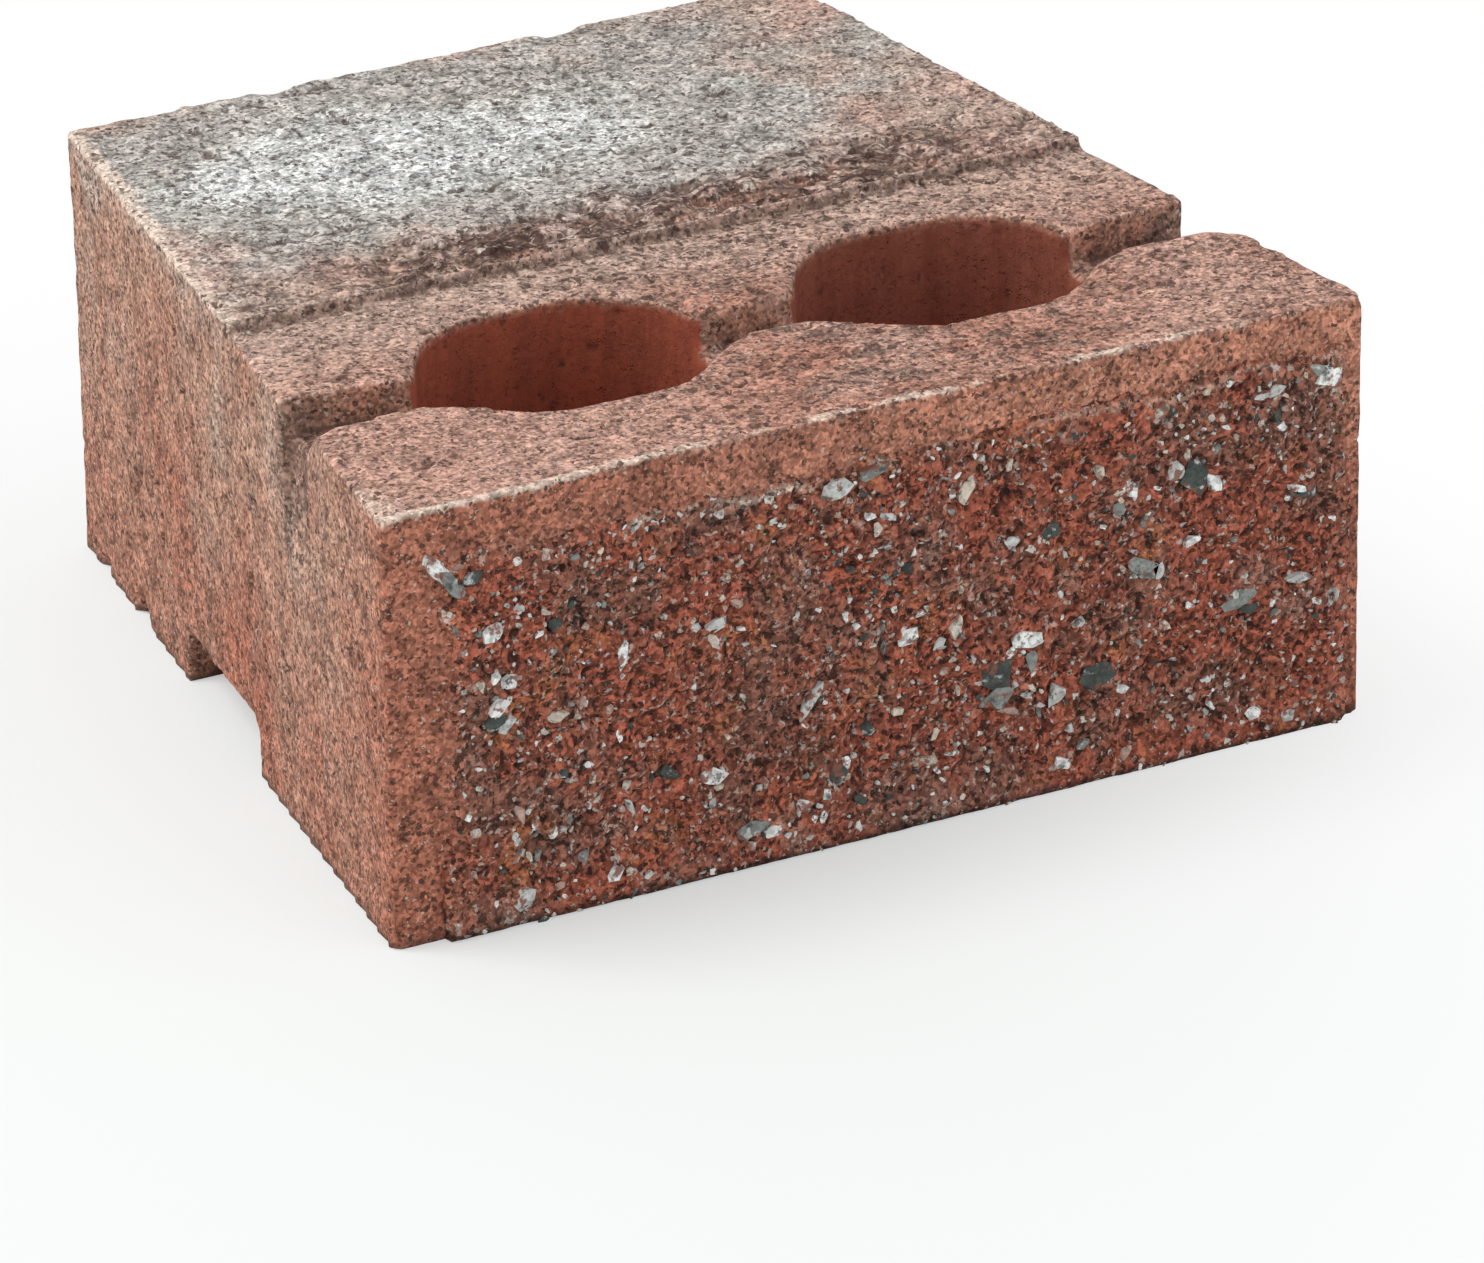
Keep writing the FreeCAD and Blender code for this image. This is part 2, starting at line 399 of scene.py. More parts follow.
        holes = pits.layered(points, 3.6 * MM, 2, stretch=(1.0, 1.0, 1.3))
        height -= 1.0 * MM * ramp(holes, 0.55, 1.0) * (1.0 - up)
        drags = pits.layered(points + 3.1, 3.2 * MM, 2, stretch=(1.7, 1.0, 1.0))
        height -= 1.2 * MM * ramp(drags, 0.45, 0.95) * deck

        open_grain = grain.layered(points + 5.7, 5.2 * MM, 3, gain=0.75)
        height += crown * (0.55 * open_grain - 0.45) * MM
        gaps = pits.layered(points + 1.9, 6.0 * MM, 2, stretch=(1.6, 1.0, 1.0))
        height -= crown * 1.3 * MM * ramp(gaps, 0.50, 0.95)
        crumble = self._crumble(points) * crown
        clods = pits.layered(points + 9.2, 9.0 * MM, 3, gain=0.75, stretch=(1.3, 1.0, 1.0))
        height += crumble * (4.0 * np.clip(clods, -0.8, 0.20) - 0.8) * MM
        return height * shown

    def _crumble(self, points: np.ndarray) -> np.ndarray:
        """Share of the crumbled band that lies along the crown's front edge."""
        noise = LatticeNoise(31)
        behind = points[:, 1] - self.sizes.crown_front
        reach = (34.0 + 12.0 * noise.layered(points, 30 * MM, 3)) * MM
        across = ramp(points[:, 0], -105 * MM, -62 * MM) * (1.0 - 0.6 * ramp(points[:, 0], 60 * MM, 120 * MM))
        lip = ramp(behind, -0.6 * MM, 1.2 * MM)
        return lip * (1.0 - ramp(behind, 0.45 * reach, reach)) * (0.15 + 0.85 * across)

    def _seat_for_face(self, points: np.ndarray, normals: np.ndarray, shaped: np.ndarray) -> np.ndarray:
        """Flatten the front to its moulded plane, and sink it where the broken face sits."""
        sizes = self.sizes
        on_front = (points[:, 1] < sizes.front + 2.2 * MM) & (normals[:, 1] < -0.35)
        where = np.flatnonzero(on_front)
        face = points[where]
        fade = ramp(-normals[where, 1], 0.35, 0.75)
        inside = ramp(face_inset(sizes, face), 0.3 * MM, 2.3 * MM)
        margin = LatticeNoise(55).layered(face, 7 * MM, 3) * 0.25 * MM - 0.2 * MM
        height = (1.0 - inside) * margin - inside * self.seat_depth
        moved = shaped.copy()
        moved[where, 1] = shaped[where, 1] * (1.0 - fade) + (sizes.front - height) * fade
        return moved

    def _break_spalls(self, points: np.ndarray) -> np.ndarray:
        """Press each spall's dent into the block, towards the block's middle."""
        middle = np.array((self.sizes.low + self.sizes.high) / 2)
        noise = LatticeNoise(61)
        moved = points.copy()
        for spall in self.spalls:
            place = np.array(spall.place)
            away = np.linalg.norm(points - place, axis=1)
            ragged = away * (1.0 + 0.35 * noise.layered(points, spall.radius, 2))
            amount = spall.depth * (1.0 - ramp(ragged, 0.35 * spall.radius, spall.radius))
            inward = middle - place
            moved += amount[:, None] * inward / np.linalg.norm(inward)
        return moved

    def _mark_zones(
        self,
        points: np.ndarray,
        normals: np.ndarray,
        shaped: np.ndarray,
        edges: np.ndarray,
        edge_height: np.ndarray,
    ) -> None:
        """Note for each point what the finish needs to know."""
        sizes = self.sizes
        up = ramp(normals[:, 2], 0.4, 0.8)
        crown = up * ramp(points[:, 2], sizes.deck + 0.8 * MM, sizes.deck + 2.2 * MM)
        smooth = self._smoothed(shaped, edges, passes=5)
        hollow_shade = np.einsum("ij,ij->i", smooth - shaped, normals)
        self.attributes[Zone.GREY] = crown * self._patch(points, (-20, 84), (165, 92), 72)
        self.attributes[Zone.BLOOM] = crown * self._patch(points, (-32, 76), (100, 44), 73)
        self.attributes[Zone.CRUMBLE] = crown * self._crumble(points)
        # Hollows of the surface, where the finish paints shade.
        self.attributes[Zone.RECESS_SHADE] = np.clip(hollow_shade / (0.30 * MM), -1.0, 1.0)
        high = 1.0 - up * (1.0 - ramp(points[:, 2], sizes.deck - 9 * MM, sizes.deck - 5 * MM))
        # Convex edges, which the finish paints paler: worn, with a painted highlight.
        self.attributes[Zone.WEAR_AND_HIGHLIGHT] = np.clip(edge_height / (0.62 * MM), 0.0, 1.0) * high
        self.attributes[Zone.INSIDE] = self._inside(points, normals)
        self.attributes[Zone.DECK] = up * (1.0 - crown)
        # The front top edge and the crown's left rim, which the finish paints pale, partly as a painted
        # highlight.
        self.attributes[Zone.ARRIS_AND_HIGHLIGHT] = self._front_arris_and_highlight(points)
        # Where the finish paints shade: before the crown, in the side notches and on the groove floor.
        self.attributes[Zone.STEP] = self._step_shade(points)

    @staticmethod
    def _patch(
        points: np.ndarray, centre: tuple[float, float], spread: tuple[float, float], seed: int
    ) -> np.ndarray:
        """A soft ragged patch on the crown; centre and spread are X and Y in millimetres."""
        offset = (points[:, :2] / MM - np.array(centre)) / np.array(spread)
        ragged = LatticeNoise(seed).layered(points, 42 * MM, 4, gain=0.6)
        return 1.0 - ramp(np.linalg.norm(offset, axis=1) + 0.30 * ragged, 0.45, 1.15)

    def _step_shade(self, points: np.ndarray) -> np.ndarray:
        """1 where shade is painted: before the crown, in the side notches and on the groove's floor."""
        sizes = self.sizes
        ragged = LatticeNoise(75).layered(points, 9 * MM, 3) * 1.5 * MM
        along = points[:, 1] - (sizes.crown_front - 0.6 * MM) + ragged
        high = ramp(points[:, 2], sizes.deck - 2.5 * MM, sizes.deck - 0.8 * MM)
        below_lip = 1.0 - ramp(points[:, 2], sizes.deck + 1.9 * MM, sizes.deck + 3.0 * MM)
        step = high * below_lip * (1.0 - ramp(np.abs(along), 0.6 * MM, 2.6 * MM))
        wall = sizes.front + sizes.groove_setback + sizes.groove_width
        notch = 1.0 - ramp(np.abs(points[:, 1] - wall + 0.5 * ragged), 1.6 * MM, 3.6 * MM)
        edge = sizes.half_width(wall) - np.abs(points[:, 0])
        sunk = (points[:, 1] > wall - sizes.groove_width - 1 * MM) & (points[:, 1] < wall + 1 * MM)
        notch = np.maximum(notch, np.where(sunk, ramp(edge, 0.8 * MM, 2.0 * MM), 0.0))
        notch *= 1.0 - ramp(edge, 9 * MM, 11 * MM)
        notch *= ramp(points[:, 2], sizes.deck - 52 * MM, sizes.deck - 40 * MM)
        notch *= 1.0 - ramp(points[:, 2], sizes.deck - 4 * MM, sizes.deck - 1 * MM)
        floor = np.where(sunk, 0.45, 0.0) * ramp(points[:, 2], sizes.deck - 16 * MM, sizes.deck - 13 * MM)
        floor *= 1.0 - ramp(points[:, 2], sizes.deck - 10 * MM, sizes.deck - 6 * MM)
        return np.maximum(np.maximum(step, notch), floor)

    def _front_arris_and_highlight(self, points: np.ndarray) -> np.ndarray:
        """1 along the top front edge, worn pale and given a painted highlight, and along the crown's left
        rim, which is paler.
        """
        sizes = self.sizes
        noise = LatticeNoise(74)
        drift = 1.2 * MM * noise.layered(points * np.array([1.0, 0.0, 0.0]), 30 * MM, 3)
        away = np.hypot(points[:, 1] - (sizes.front + 1.2 * MM) - drift, points[:, 2] - sizes.deck)
        band = 1.0 - ramp(away, 0.5 * MM, 2.3 * MM)
        left = 1.0 - ramp(points[:, 0], -120 * MM, 20 * MM)
        broken = ramp(noise.layered(points, 16 * MM, 3, gain=0.7) + 0.8 * left, -0.2, 0.6)
        corner = np.linalg.norm(
            (points - np.array([-sizes.half_width(sizes.front + 8 * MM), sizes.front + 8 * MM, sizes.deck]))
            / np.array([14 * MM, 26 * MM, 5 * MM]),
            axis=1,
        )
        worn = np.maximum(band * broken, 0.6 * (1.0 - ramp(corner, 0.1, 1.2)))
        edge = points[:, 0] + sizes.half_width(points[:, 1])
        uneven = 1.5 * MM * noise.layered(points + 2.3, 18 * MM, 3)
        rim = 1.0 - ramp(edge + uneven, 2.0 * MM, 7.0 * MM)
        rim *= ramp(points[:, 2], sizes.deck + 0.5 * MM, sizes.deck + 2.5 * MM)
        return np.maximum(worn, 0.75 * rim)

    def _inside(self, points: np.ndarray, normals: np.ndarray) -> np.ndarray:
        """1 on the walls of the cores, which get a darker, redder colour."""
        sizes = self.sizes
        across = np.abs(np.abs(points[:, 0]) - sizes.core_spacing / 2)
        straight = (sizes.core_length - sizes.core_width) / 2
        along = points[:, 1] - sizes.core_middle
        from_axis = np.hypot(np.maximum(across - straight, 0.0), along)
        core = 1.0 - ramp(np.abs(from_axis - sizes.core_width / 2), 1.0 * MM, 2.4 * MM)
        upright = 1.0 - ramp(np.abs(normals[:, 2]), 0.3, 0.8)
        return core * upright * (1.0 - ramp(points[:, 2], sizes.deck - 3.5 * MM, sizes.deck - 0.5 * MM))

    def _thinned(self, mesh: bpy.types.Mesh, finish: bpy.types.Material) -> bpy.types.Object:
        """Bring the mesh under its limit of triangles, where the surface is flattest."""
        triangles = sum(len(polygon.vertices) - 2 for polygon in mesh.polygons)
        ratio = min(1.0, self.most_triangles / triangles)
        thin = evaluated_copy("block_casting", mesh, "DECIMATE", ratio=ratio)
        thin.polygons.foreach_set("use_smooth", [True] * len(thin.polygons))
        keep_in_box(thin, self.sizes)
        thin.materials.clear()
        thin.materials.append(finish)
        LOG.info("casting: %d faces from %d", len(thin.polygons), triangles)
        return link_mesh("block_casting", thin)


def face_inset(sizes: BlockSizes, points: np.ndarray) -> np.ndarray:
    """How far each point lies inside the ragged outline of the broken face, in metres."""
    noise = LatticeNoise(41)
    flat = points * np.array([1.0, 0.0, 1.0])
    ragged = noise.layered(flat, 14 * MM, 4, gain=0.7) * 3.0 * MM
    share = (points[:, 0] - sizes.low.x) / (sizes.high.x - sizes.low.x)
    margin = sizes.margin_top_left + (sizes.margin_top_right - sizes.margin_top_left) * share
    inset = np.minimum.reduce(
        [
            points[:, 0] - (sizes.low.x + sizes.margin_left),
            (sizes.high.x - sizes.margin_right) - points[:, 0],
            points[:, 2] + sizes.margin_foot,
            sizes.deck - margin - points[:, 2],
        ]
    )
    return inset + ragged * (1.0 + 0.8 * (1.0 - ramp(points[:, 0], -135 * MM, -110 * MM)))


def store_attributes(mesh: bpy.types.Mesh, values: dict[Zone, np.ndarray]) -> None:
    """Store one number for each point under each zone's name."""
    for zone, numbers in values.items():
        attribute = mesh.attributes.new(zone.value, "FLOAT", "POINT")
        attribute.data.foreach_set("value", numbers.astype(np.float32))
    mesh.update()


# ---------------------------------------------------------------- the broken face


class BrokenCells:
    """Small tilted planes on a jittered grid, which meet along ragged lines."""

    def __init__(self, seed: int, cell: float) -> None:
        """Choose a repeatable pattern.

        Args:
            seed: Picks one of the patterns.
            cell: Width of a plane, in metres.
        """
        self._seed = seed
        self._cell = cell

    def _random(self, across: np.ndarray, up: np.ndarray, channel: int) -> np.ndarray:
        """A random number from -1 to 1 for each grid cell."""
        mixed = across * PRIMES[0] ^ up * PRIMES[1] ^ (self._seed * 31 + channel) * PRIMES[2]
        mixed = (mixed ^ (mixed >> 15)) * 2246822519
        mixed = (mixed ^ (mixed >> 13)) * 3266489917
        return ((mixed ^ (mixed >> 16)) & 0xFFFF) / 32767.5 - 1.0

    def heights(self, across: np.ndarray, up: np.ndarray, lift: float, tilt: float) -> np.ndarray:
        """Height of the planes at points of the face.

        Args:
            across: X of each point, in metres.
            up: Z of each point, in metres.
            lift: Most that a plane's middle is raised or sunk, in metres.
            tilt: Steepest slope of a plane.

        Returns:
            One height for each point, in metres.
        """
        x, z = across / self._cell, up / self._cell
        column, row = np.floor(x).astype(np.int64), np.floor(z).astype(np.int64)
        distances, planes = [], []
        for step_x in (-1, 0, 1):
            for step_z in (-1, 0, 1):
                i, j = column + step_x, row + step_z
                off_x = x - (i + 0.5 + 0.45 * self._random(i, j, 1))
                off_z = z - (j + 0.5 + 0.45 * self._random(i, j, 2))
                distances.append(np.hypot(off_x, off_z))
                slope = self._random(i, j, 3) * off_x + self._random(i, j, 4) * off_z
                planes.append(lift * self._random(i, j, 5) + tilt * slope * self._cell)
        distance = np.stack(distances)
        weight = np.exp(-(distance - distance.min(axis=0)) / 0.07)
        return (weight * np.stack(planes)).sum(axis=0) / weight.sum(axis=0)


@dataclass
class SplitFace:
    """The rough face where the block was split from its twin, as a thin closed slab."""

    sizes: BlockSizes
    step: float = 0.82 * MM
    border: float = 3.0 * MM
    back_depth: float = 3.2 * MM
    sunk: float = 1.2 * MM
    proud: float = 1.9 * MM

    def build(self, finish: bpy.types.Material) -> bpy.types.Object:
        """Make the slab.

        Args:
            finish: The broken concrete.

        Returns:
            The finished piece, closed and at the origin.
        """
        sizes = self.sizes
        left = sizes.low.x + sizes.margin_left - self.border
        right = sizes.high.x - sizes.margin_right + self.border
        foot = sizes.low.z + 0.3 * MM
        top = sizes.deck - sizes.margin_top_right + self.border
        columns = int((right - left) / self.step)
        rows = int((top - foot) / self.step)
        x, z = np.meshgrid(np.linspace(left, right, columns), np.linspace(foot, top, rows))
        face = np.stack([x.ravel(), np.full(x.size, sizes.front), z.ravel()], axis=1)
        inset = face_inset(sizes, face)
        height = self._height(face, inset)
        face[:, 1] = sizes.front - height
        grid = height.reshape(rows, columns)
        mesh = self._closed_slab(face, rows, columns)
        self._store(mesh, grid, inset)
        mesh.polygons.foreach_set("use_smooth", [True] * len(mesh.polygons))
        mesh.materials.append(finish)
        LOG.info("split face: %d faces", len(mesh.polygons))
        return link_mesh("split_face", mesh)

    def _height(self, face: np.ndarray, inset: np.ndarray) -> np.ndarray:
        """How far each point stands in front of the moulded plane."""
        warp = LatticeNoise(81)
        x = face[:, 0] + 1.6 * MM * warp.layered(face, 7 * MM, 3)
        z = face[:, 2] + 1.6 * MM * warp.layered(face + 0.4, 7 * MM, 3)
        broken = BrokenCells(1, 23 * MM).heights(x, z, 0.95 * MM, 0.12)
        broken += BrokenCells(2, 9.5 * MM).heights(x, z, 0.75 * MM, 0.22)
        broken += BrokenCells(3, 3.8 * MM).heights(x, z, 0.50 * MM, 0.34)
        broken += BrokenCells(4, 1.9 * MM).heights(x, z, 0.26 * MM, 0.25)
        broken += LatticeNoise(82).layered(face, 60 * MM, 2) * 0.5 * MM
        pits = LatticeNoise(83).layered(face, 3.4 * MM, 2)
        broken -= 0.9 * MM * ramp(pits, 0.50, 1.0)
        inside = ramp(inset, -1.1 * MM, 0.9 * MM)
        swell = 0.45 + 0.55 * ramp(inset, 0.0, 9 * MM)
        height = inside * swell * (self.proud + broken) - (1.0 - inside) * self.sunk
        foot = inside * (1.0 - ramp(face[:, 2], 2 * MM, 17 * MM))
        heel = 3.75 * MM - 0.9 * MM * (1.0 - ramp(face[:, 2], 0.2 * MM, 1.6 * MM)) + 0.12 * broken
        height = height * (1.0 - foot) + heel * foot
        return np.minimum(height, self.sizes.face_relief - 0.05 * MM)

    def _closed_slab(self, face: np.ndarray, rows: int, columns: int) -> bpy.types.Mesh:
        """The broken surface, its four sides and its flat back."""
        count = rows * columns
        index = np.arange(count).reshape(rows, columns)
        corners = [index[:-1, :-1], index[:-1, 1:], index[1:, 1:], index[1:, :-1]]
        front = np.stack([corner.ravel() for corner in corners], axis=1)
        rim = np.concatenate([index[0, :-1], index[:-1, -1], index[-1, :0:-1], index[:0:-1, 0]])
        behind = face[rim].copy()
        behind[:, 1] = self.sizes.front + self.back_depth
        middle = behind.mean(axis=0)
        follow = np.roll(np.arange(len(rim)), -1)
        own = count + np.arange(len(rim))
        sides = np.stack([rim, own, own[follow], rim[follow]], axis=1)
        fan = np.stack([own[follow], own, np.full(len(rim), count + len(rim))], axis=1)
        points = np.concatenate([face, behind, middle[None, :]])
        mesh = bpy.data.meshes.new("split_face")
        mesh.from_pydata(points.tolist(), [], front.tolist() + sides.tolist() + fan.tolist())
        return mesh

    @staticmethod
    def _store(mesh: bpy.types.Mesh, grid: np.ndarray, inset: np.ndarray) -> None:
        """Store how deep each point lies among its neighbours, for painted shade in the hollows, and where
        the break is.
        """
        extra = len(mesh.vertices) - grid.size
        narrow, wide = blurred(grid, 2), blurred(grid, 8)
        # Depth below the near neighbours, for painted shade in small hollows.
        hollow_shade = np.clip((narrow - grid) / (0.28 * MM), -1.0, 1.0)
        # Depth below the wider surroundings, for painted shade in broad hollows.
        valley_shade = np.clip((wide - grid) / (0.9 * MM), -1.0, 1.0)
        tail = np.zeros(extra)
        points = read_points(mesh)[: grid.size]
        broken = ramp(LatticeNoise(85).layered(points, 14 * MM, 3, gain=0.7), -0.15, 0.35)
        ridge = broken * (1.0 - ramp(np.abs(inset - 1.9 * MM), 0.5 * MM, 1.7 * MM))
        ridge *= ramp(points[:, 2], 90 * MM, 98 * MM) * (1.0 - 0.6 * ramp(points[:, 0], -20 * MM, 60 * MM))
        values = {
            Zone.RECESS_SHADE: np.concatenate([hollow_shade.ravel(), tail]),
            Zone.VALLEY_SHADE: np.concatenate([valley_shade.ravel(), tail]),
            Zone.SPLIT: np.concatenate([ramp(inset, -0.5 * MM, 1.5 * MM), tail]),
            Zone.WEAR_AND_HIGHLIGHT: np.concatenate([1.0 - ramp(inset, 0.5 * MM, 8.0 * MM), tail]),
            Zone.ARRIS_AND_HIGHLIGHT: np.concatenate([ridge, tail]),
        }
        store_attributes(mesh, values)


def blurred(grid: np.ndarray, passes: int) -> np.ndarray:
    """A grid of numbers with each one averaged over its neighbours, several times."""
    result = grid.copy()
    for _ in range(passes):
        padded = np.pad(result, 1, mode="edge")
        result = (
            padded[:-2, 1:-1] + padded[2:, 1:-1] + padded[1:-1, :-2] + padded[1:-1, 2:] + 2.0 * result
        ) / 6.0
    return result


def evaluated_copy(name: str, mesh: bpy.types.Mesh, kind: str, **settings: object) -> bpy.types.Mesh:
    """Run one modifier on a mesh.

    Args:
        name: Name of the new mesh.
        mesh: What the modifier works on.
        kind: The modifier's type.
        **settings: Its properties.

    Returns:
        A plain mesh with the modifier's result.
    """
    worker = bpy.data.objects.new("worker", mesh)
    bpy.context.scene.collection.objects.link(worker)
    modifier = worker.modifiers.new(kind.lower(), kind)
    for setting, value in settings.items():
        setattr(modifier, setting, value)
    graph = bpy.context.evaluated_depsgraph_get()
    result = bpy.data.meshes.new_from_object(worker.evaluated_get(graph))
    result.name = name
    bpy.data.objects.remove(worker)
    return result


def keep_in_box(mesh: bpy.types.Mesh, sizes: BlockSizes) -> None:
    """Shear off whatever would stand out of the block's own box."""
    skin = 0.02 * MM
    low, high = np.array(sizes.low) + skin, np.array(sizes.high) - skin
    inside = np.clip(read_points(mesh), low, high)
    mesh.vertices.foreach_set("co", inside.astype(np.float32).ravel())
    mesh.update()


def link_mesh(name: str, mesh: bpy.types.Mesh) -> bpy.types.Object:
    """Put a mesh in the scene as an object at the origin."""
    piece = bpy.data.objects.new(name, mesh)
    bpy.context.scene.collection.objects.link(piece)
    return piece


# ---------------------------------------------------------------- node trees


class Value:
    """A socket that can be used in arithmetic, which adds Math nodes to its tree."""

    def __init__(self, tree: "Tree", socket: bpy.types.NodeSocket) -> None:
        """Wrap one output socket of a tree."""
        self.tree = tree
        self.socket = socket

    def _math(self, operation: str, first: object, second: object) -> "Value":
        """Add one Math node."""
        node = self.tree.add(self.tree.math_kind, {"operation": operation}, {0: first, 1: second})
        return self.tree.value(node, 0)

    def __add__(self, other: object) -> "Value":
        """Sum."""
        return self._math("ADD", self, other)

    def __radd__(self, other: object) -> "Value":
        """Sum with a number on the left."""
        return self._math("ADD", other, self)

    def __sub__(self, other: object) -> "Value":
        """Difference."""
        return self._math("SUBTRACT", self, other)

    def __rsub__(self, other: object) -> "Value":
        """Difference from a number."""
        return self._math("SUBTRACT", other, self)

    def __mul__(self, other: object) -> "Value":
        """Product."""
        return self._math("MULTIPLY", self, other)

    def __rmul__(self, other: object) -> "Value":
        """Product with a number on the left."""
        return self._math("MULTIPLY", other, self)

    def __pow__(self, other: object) -> "Value":
        """Power."""
        return self._math("POWER", self, other)


class Tree:
    """Builds the nodes of a material or a geometry group."""

    math_kind = "ShaderNodeMath"

    def __init__(self, nodes: bpy.types.NodeTree) -> None:
        """Start from an existing tree."""
        self.nodes = nodes

    def add(self, kind: str, settings: dict[str, object], inputs: dict[object, object]) -> bpy.types.Node:
        """Add one node.

        Args:
            kind: The node's type.
            settings: Its properties, set first.
            inputs: What each input socket gets, by name or number: a Value, a socket or a constant.

        Returns:
            The node.
        """
        node = self.nodes.nodes.new(kind)
        for name, setting in settings.items():
            setattr(node, name, setting)
        for name, given in inputs.items():
            self.feed(node.inputs[name], given)
        return node

    def feed(self, socket: bpy.types.NodeSocket, given: object) -> None:
        """Give an input socket a link or a constant."""
        if isinstance(given, Value):
            self.nodes.links.new(given.socket, socket)
        elif isinstance(given, bpy.types.NodeSocket):
            self.nodes.links.new(given, socket)
        else:
            socket.default_value = given

    def value(self, node: bpy.types.Node, output: object) -> Value:
        """An output socket, ready for arithmetic."""
        return Value(self, node.outputs[output])


class MaterialTree(Tree):
    """A material's nodes: noise, ramps and mixes of colour."""

    def __init__(self, name: str) -> None:
        """Make an empty material."""
        self.material = bpy.data.materials.new(name)
        self.material.use_nodes = True
        super().__init__(self.material.node_tree)
        self.nodes.nodes.clear()
        self.place = self.value(self.add("ShaderNodeTexCoord", {}, {}), "Object")

    def moved(self, offset: Sequence[float], stretch: Sequence[float] = (1, 1, 1)) -> Value:
        """The object's coordinates, shifted and stretched."""
        inputs = {"Vector": self.place, "Location": offset, "Scale": stretch}
        return self.value(self.add("ShaderNodeMapping", {}, inputs), "Vector")

    def noise(
        self, scale: float, detail: float = 2.0, offset: float = 0.0, stretch: Sequence[float] = (1, 1, 1)
    ) -> Value:
        """Cloudy noise from 0 to 1, with this many waves to the metre."""
        place = self.moved((offset, offset * 0.7, offset * 1.3), stretch)
        inputs = {"Vector": place, "Scale": scale, "Detail": detail, "Roughness": 0.6}
        return self.value(self.add("ShaderNodeTexNoise", {}, inputs), 0)

    def ragged(self, place: Value, scale: float, detail: float, reach: float) -> Value:
        """Coordinates that noise pushes about, so that what is drawn with them has ragged edges.

        Args:
            place: The coordinates.
            scale: Waves of the noise to the metre.
            detail: Finer waves on top of those.
            reach: How far a point is pushed, in metres.

        Returns:
            The pushed coordinates.
        """
        waves = self.add("ShaderNodeTexNoise", {}, {"Vector": self.place, "Scale": scale, "Detail": detail})
        inputs = {0: waves.outputs["Color"], "Scale": reach}
        push = self.add("ShaderNodeVectorMath", {"operation": "SCALE"}, inputs)
        inputs = {0: place, 1: push.outputs[0]}
        return self.value(self.add("ShaderNodeVectorMath", {"operation": "ADD"}, inputs), 0)

    def grains(self, scale: float, offset: float = 0.0) -> Value:
        """A random number from 0 to 1 for each grain, with this many grains to the metre."""
        inputs = {"Vector": self.moved((offset, offset, offset)), "Scale": scale}
        cells = self.add("ShaderNodeTexVoronoi", {"feature": "F1"}, inputs)
        parts = self.add("ShaderNodeSeparateColor", {}, {"Color": cells.outputs["Color"]})
        return self.value(parts, 0)

    def specks(self, scale: float, share: float, size: float, offset: float = 0.0) -> Value:
        """Round specks.

        Args:
            scale: Places for a speck to the metre.
            share: Share of the places that have one, from 0 to 1.
            size: Radius of a speck as a share of the distance between places.
            offset: Moves the pattern.

        Returns:
            1 in a speck and 0 elsewhere.
        """
        place = self.moved((offset, offset * 0.6, offset * 1.7))
        inputs = {"Vector": self.ragged(place, scale * 1.3, 1.0, 1.5 / scale), "Scale": scale}
        cells = self.add("ShaderNodeTexVoronoi", {"feature": "F1"}, inputs)
        parts = self.add("ShaderNodeSeparateColor", {}, {"Color": cells.outputs["Color"]})
        chosen = self.mask(self.value(parts, 0), 1.0 - share, 1.015 - share)
        radius = self.value(parts, 1) * (0.7 * size) + 0.65 * size
        near = self.mask(self.value(cells, "Distance") - radius, -0.10, 0.02)
        return chosen * (1.0 - near)

    def cracks(self, scale: float, offset: float = 0.0) -> Value:
        """Narrow gaps between lumps, with this many lumps to the metre: 1 in a gap."""
        place = self.moved((offset, offset * 0.7, offset * 1.3), (0.7, 1.0, 1.0))
        inputs = {"Vector": self.ragged(place, scale, 2.0, 1.2 / scale), "Scale": scale}
        lumps = self.add("ShaderNodeTexVoronoi", {"feature": "DISTANCE_TO_EDGE"}, inputs)
        return 1.0 - self.mask(self.value(lumps, "Distance"), 0.03, 0.13)

    def attribute(self, name: str) -> Value:
        """A number that the mesh holds for each point."""
        return self.value(self.add("ShaderNodeAttribute", {"attribute_name": name}, {}), "Fac")

    def curve(self, given: Value, stops: Sequence[tuple[float, object]], kind: str = "LINEAR") -> Value:
        """Turn a number into a colour, or a grey where the stops are numbers."""
        node = self.nodes.nodes.new("ShaderNodeValToRGB")
        node.color_ramp.interpolation = kind
        elements = node.color_ramp.elements
        while len(elements) < len(stops):
            elements.new(0.5)
        for element, (position, shade) in zip(elements, stops):
            element.position = position
            parts = shade if isinstance(shade, tuple) else (shade, shade, shade)
            element.color = (*parts, 1.0)
        self.feed(node.inputs["Fac"], given)
        return self.value(node, "Color")

    def mask(self, given: Value, low: float, high: float) -> Value:
        """0 below low and 1 above high."""
        settings = {"interpolation_type": "SMOOTHSTEP", "clamp": True}
        inputs = {"Value": given, "From Min": low, "From Max": high}
        return self.value(self.add("ShaderNodeMapRange", settings, inputs), "Result")

    def blend(self, share: object, first: object, second: object, kind: str = "MIX") -> Value:
        """Mix two colours."""
        node = self.add("ShaderNodeMix", {"data_type": "RGBA", "blend_type": kind}, {})
        for number, given in ((0, share), (6, first), (7, second)):
            given = (*given, 1.0) if isinstance(given, tuple) else given
            self.feed(node.inputs[number], given)
        return self.value(node, 2)

    def bump(self, height: Value, distance: float, strength: float = 1.0) -> Value:
        """A normal from a height, in metres for a height of 1."""
        inputs = {"Height": height, "Distance": distance, "Strength": strength}
        return self.value(self.add("ShaderNodeBump", {}, inputs), "Normal")

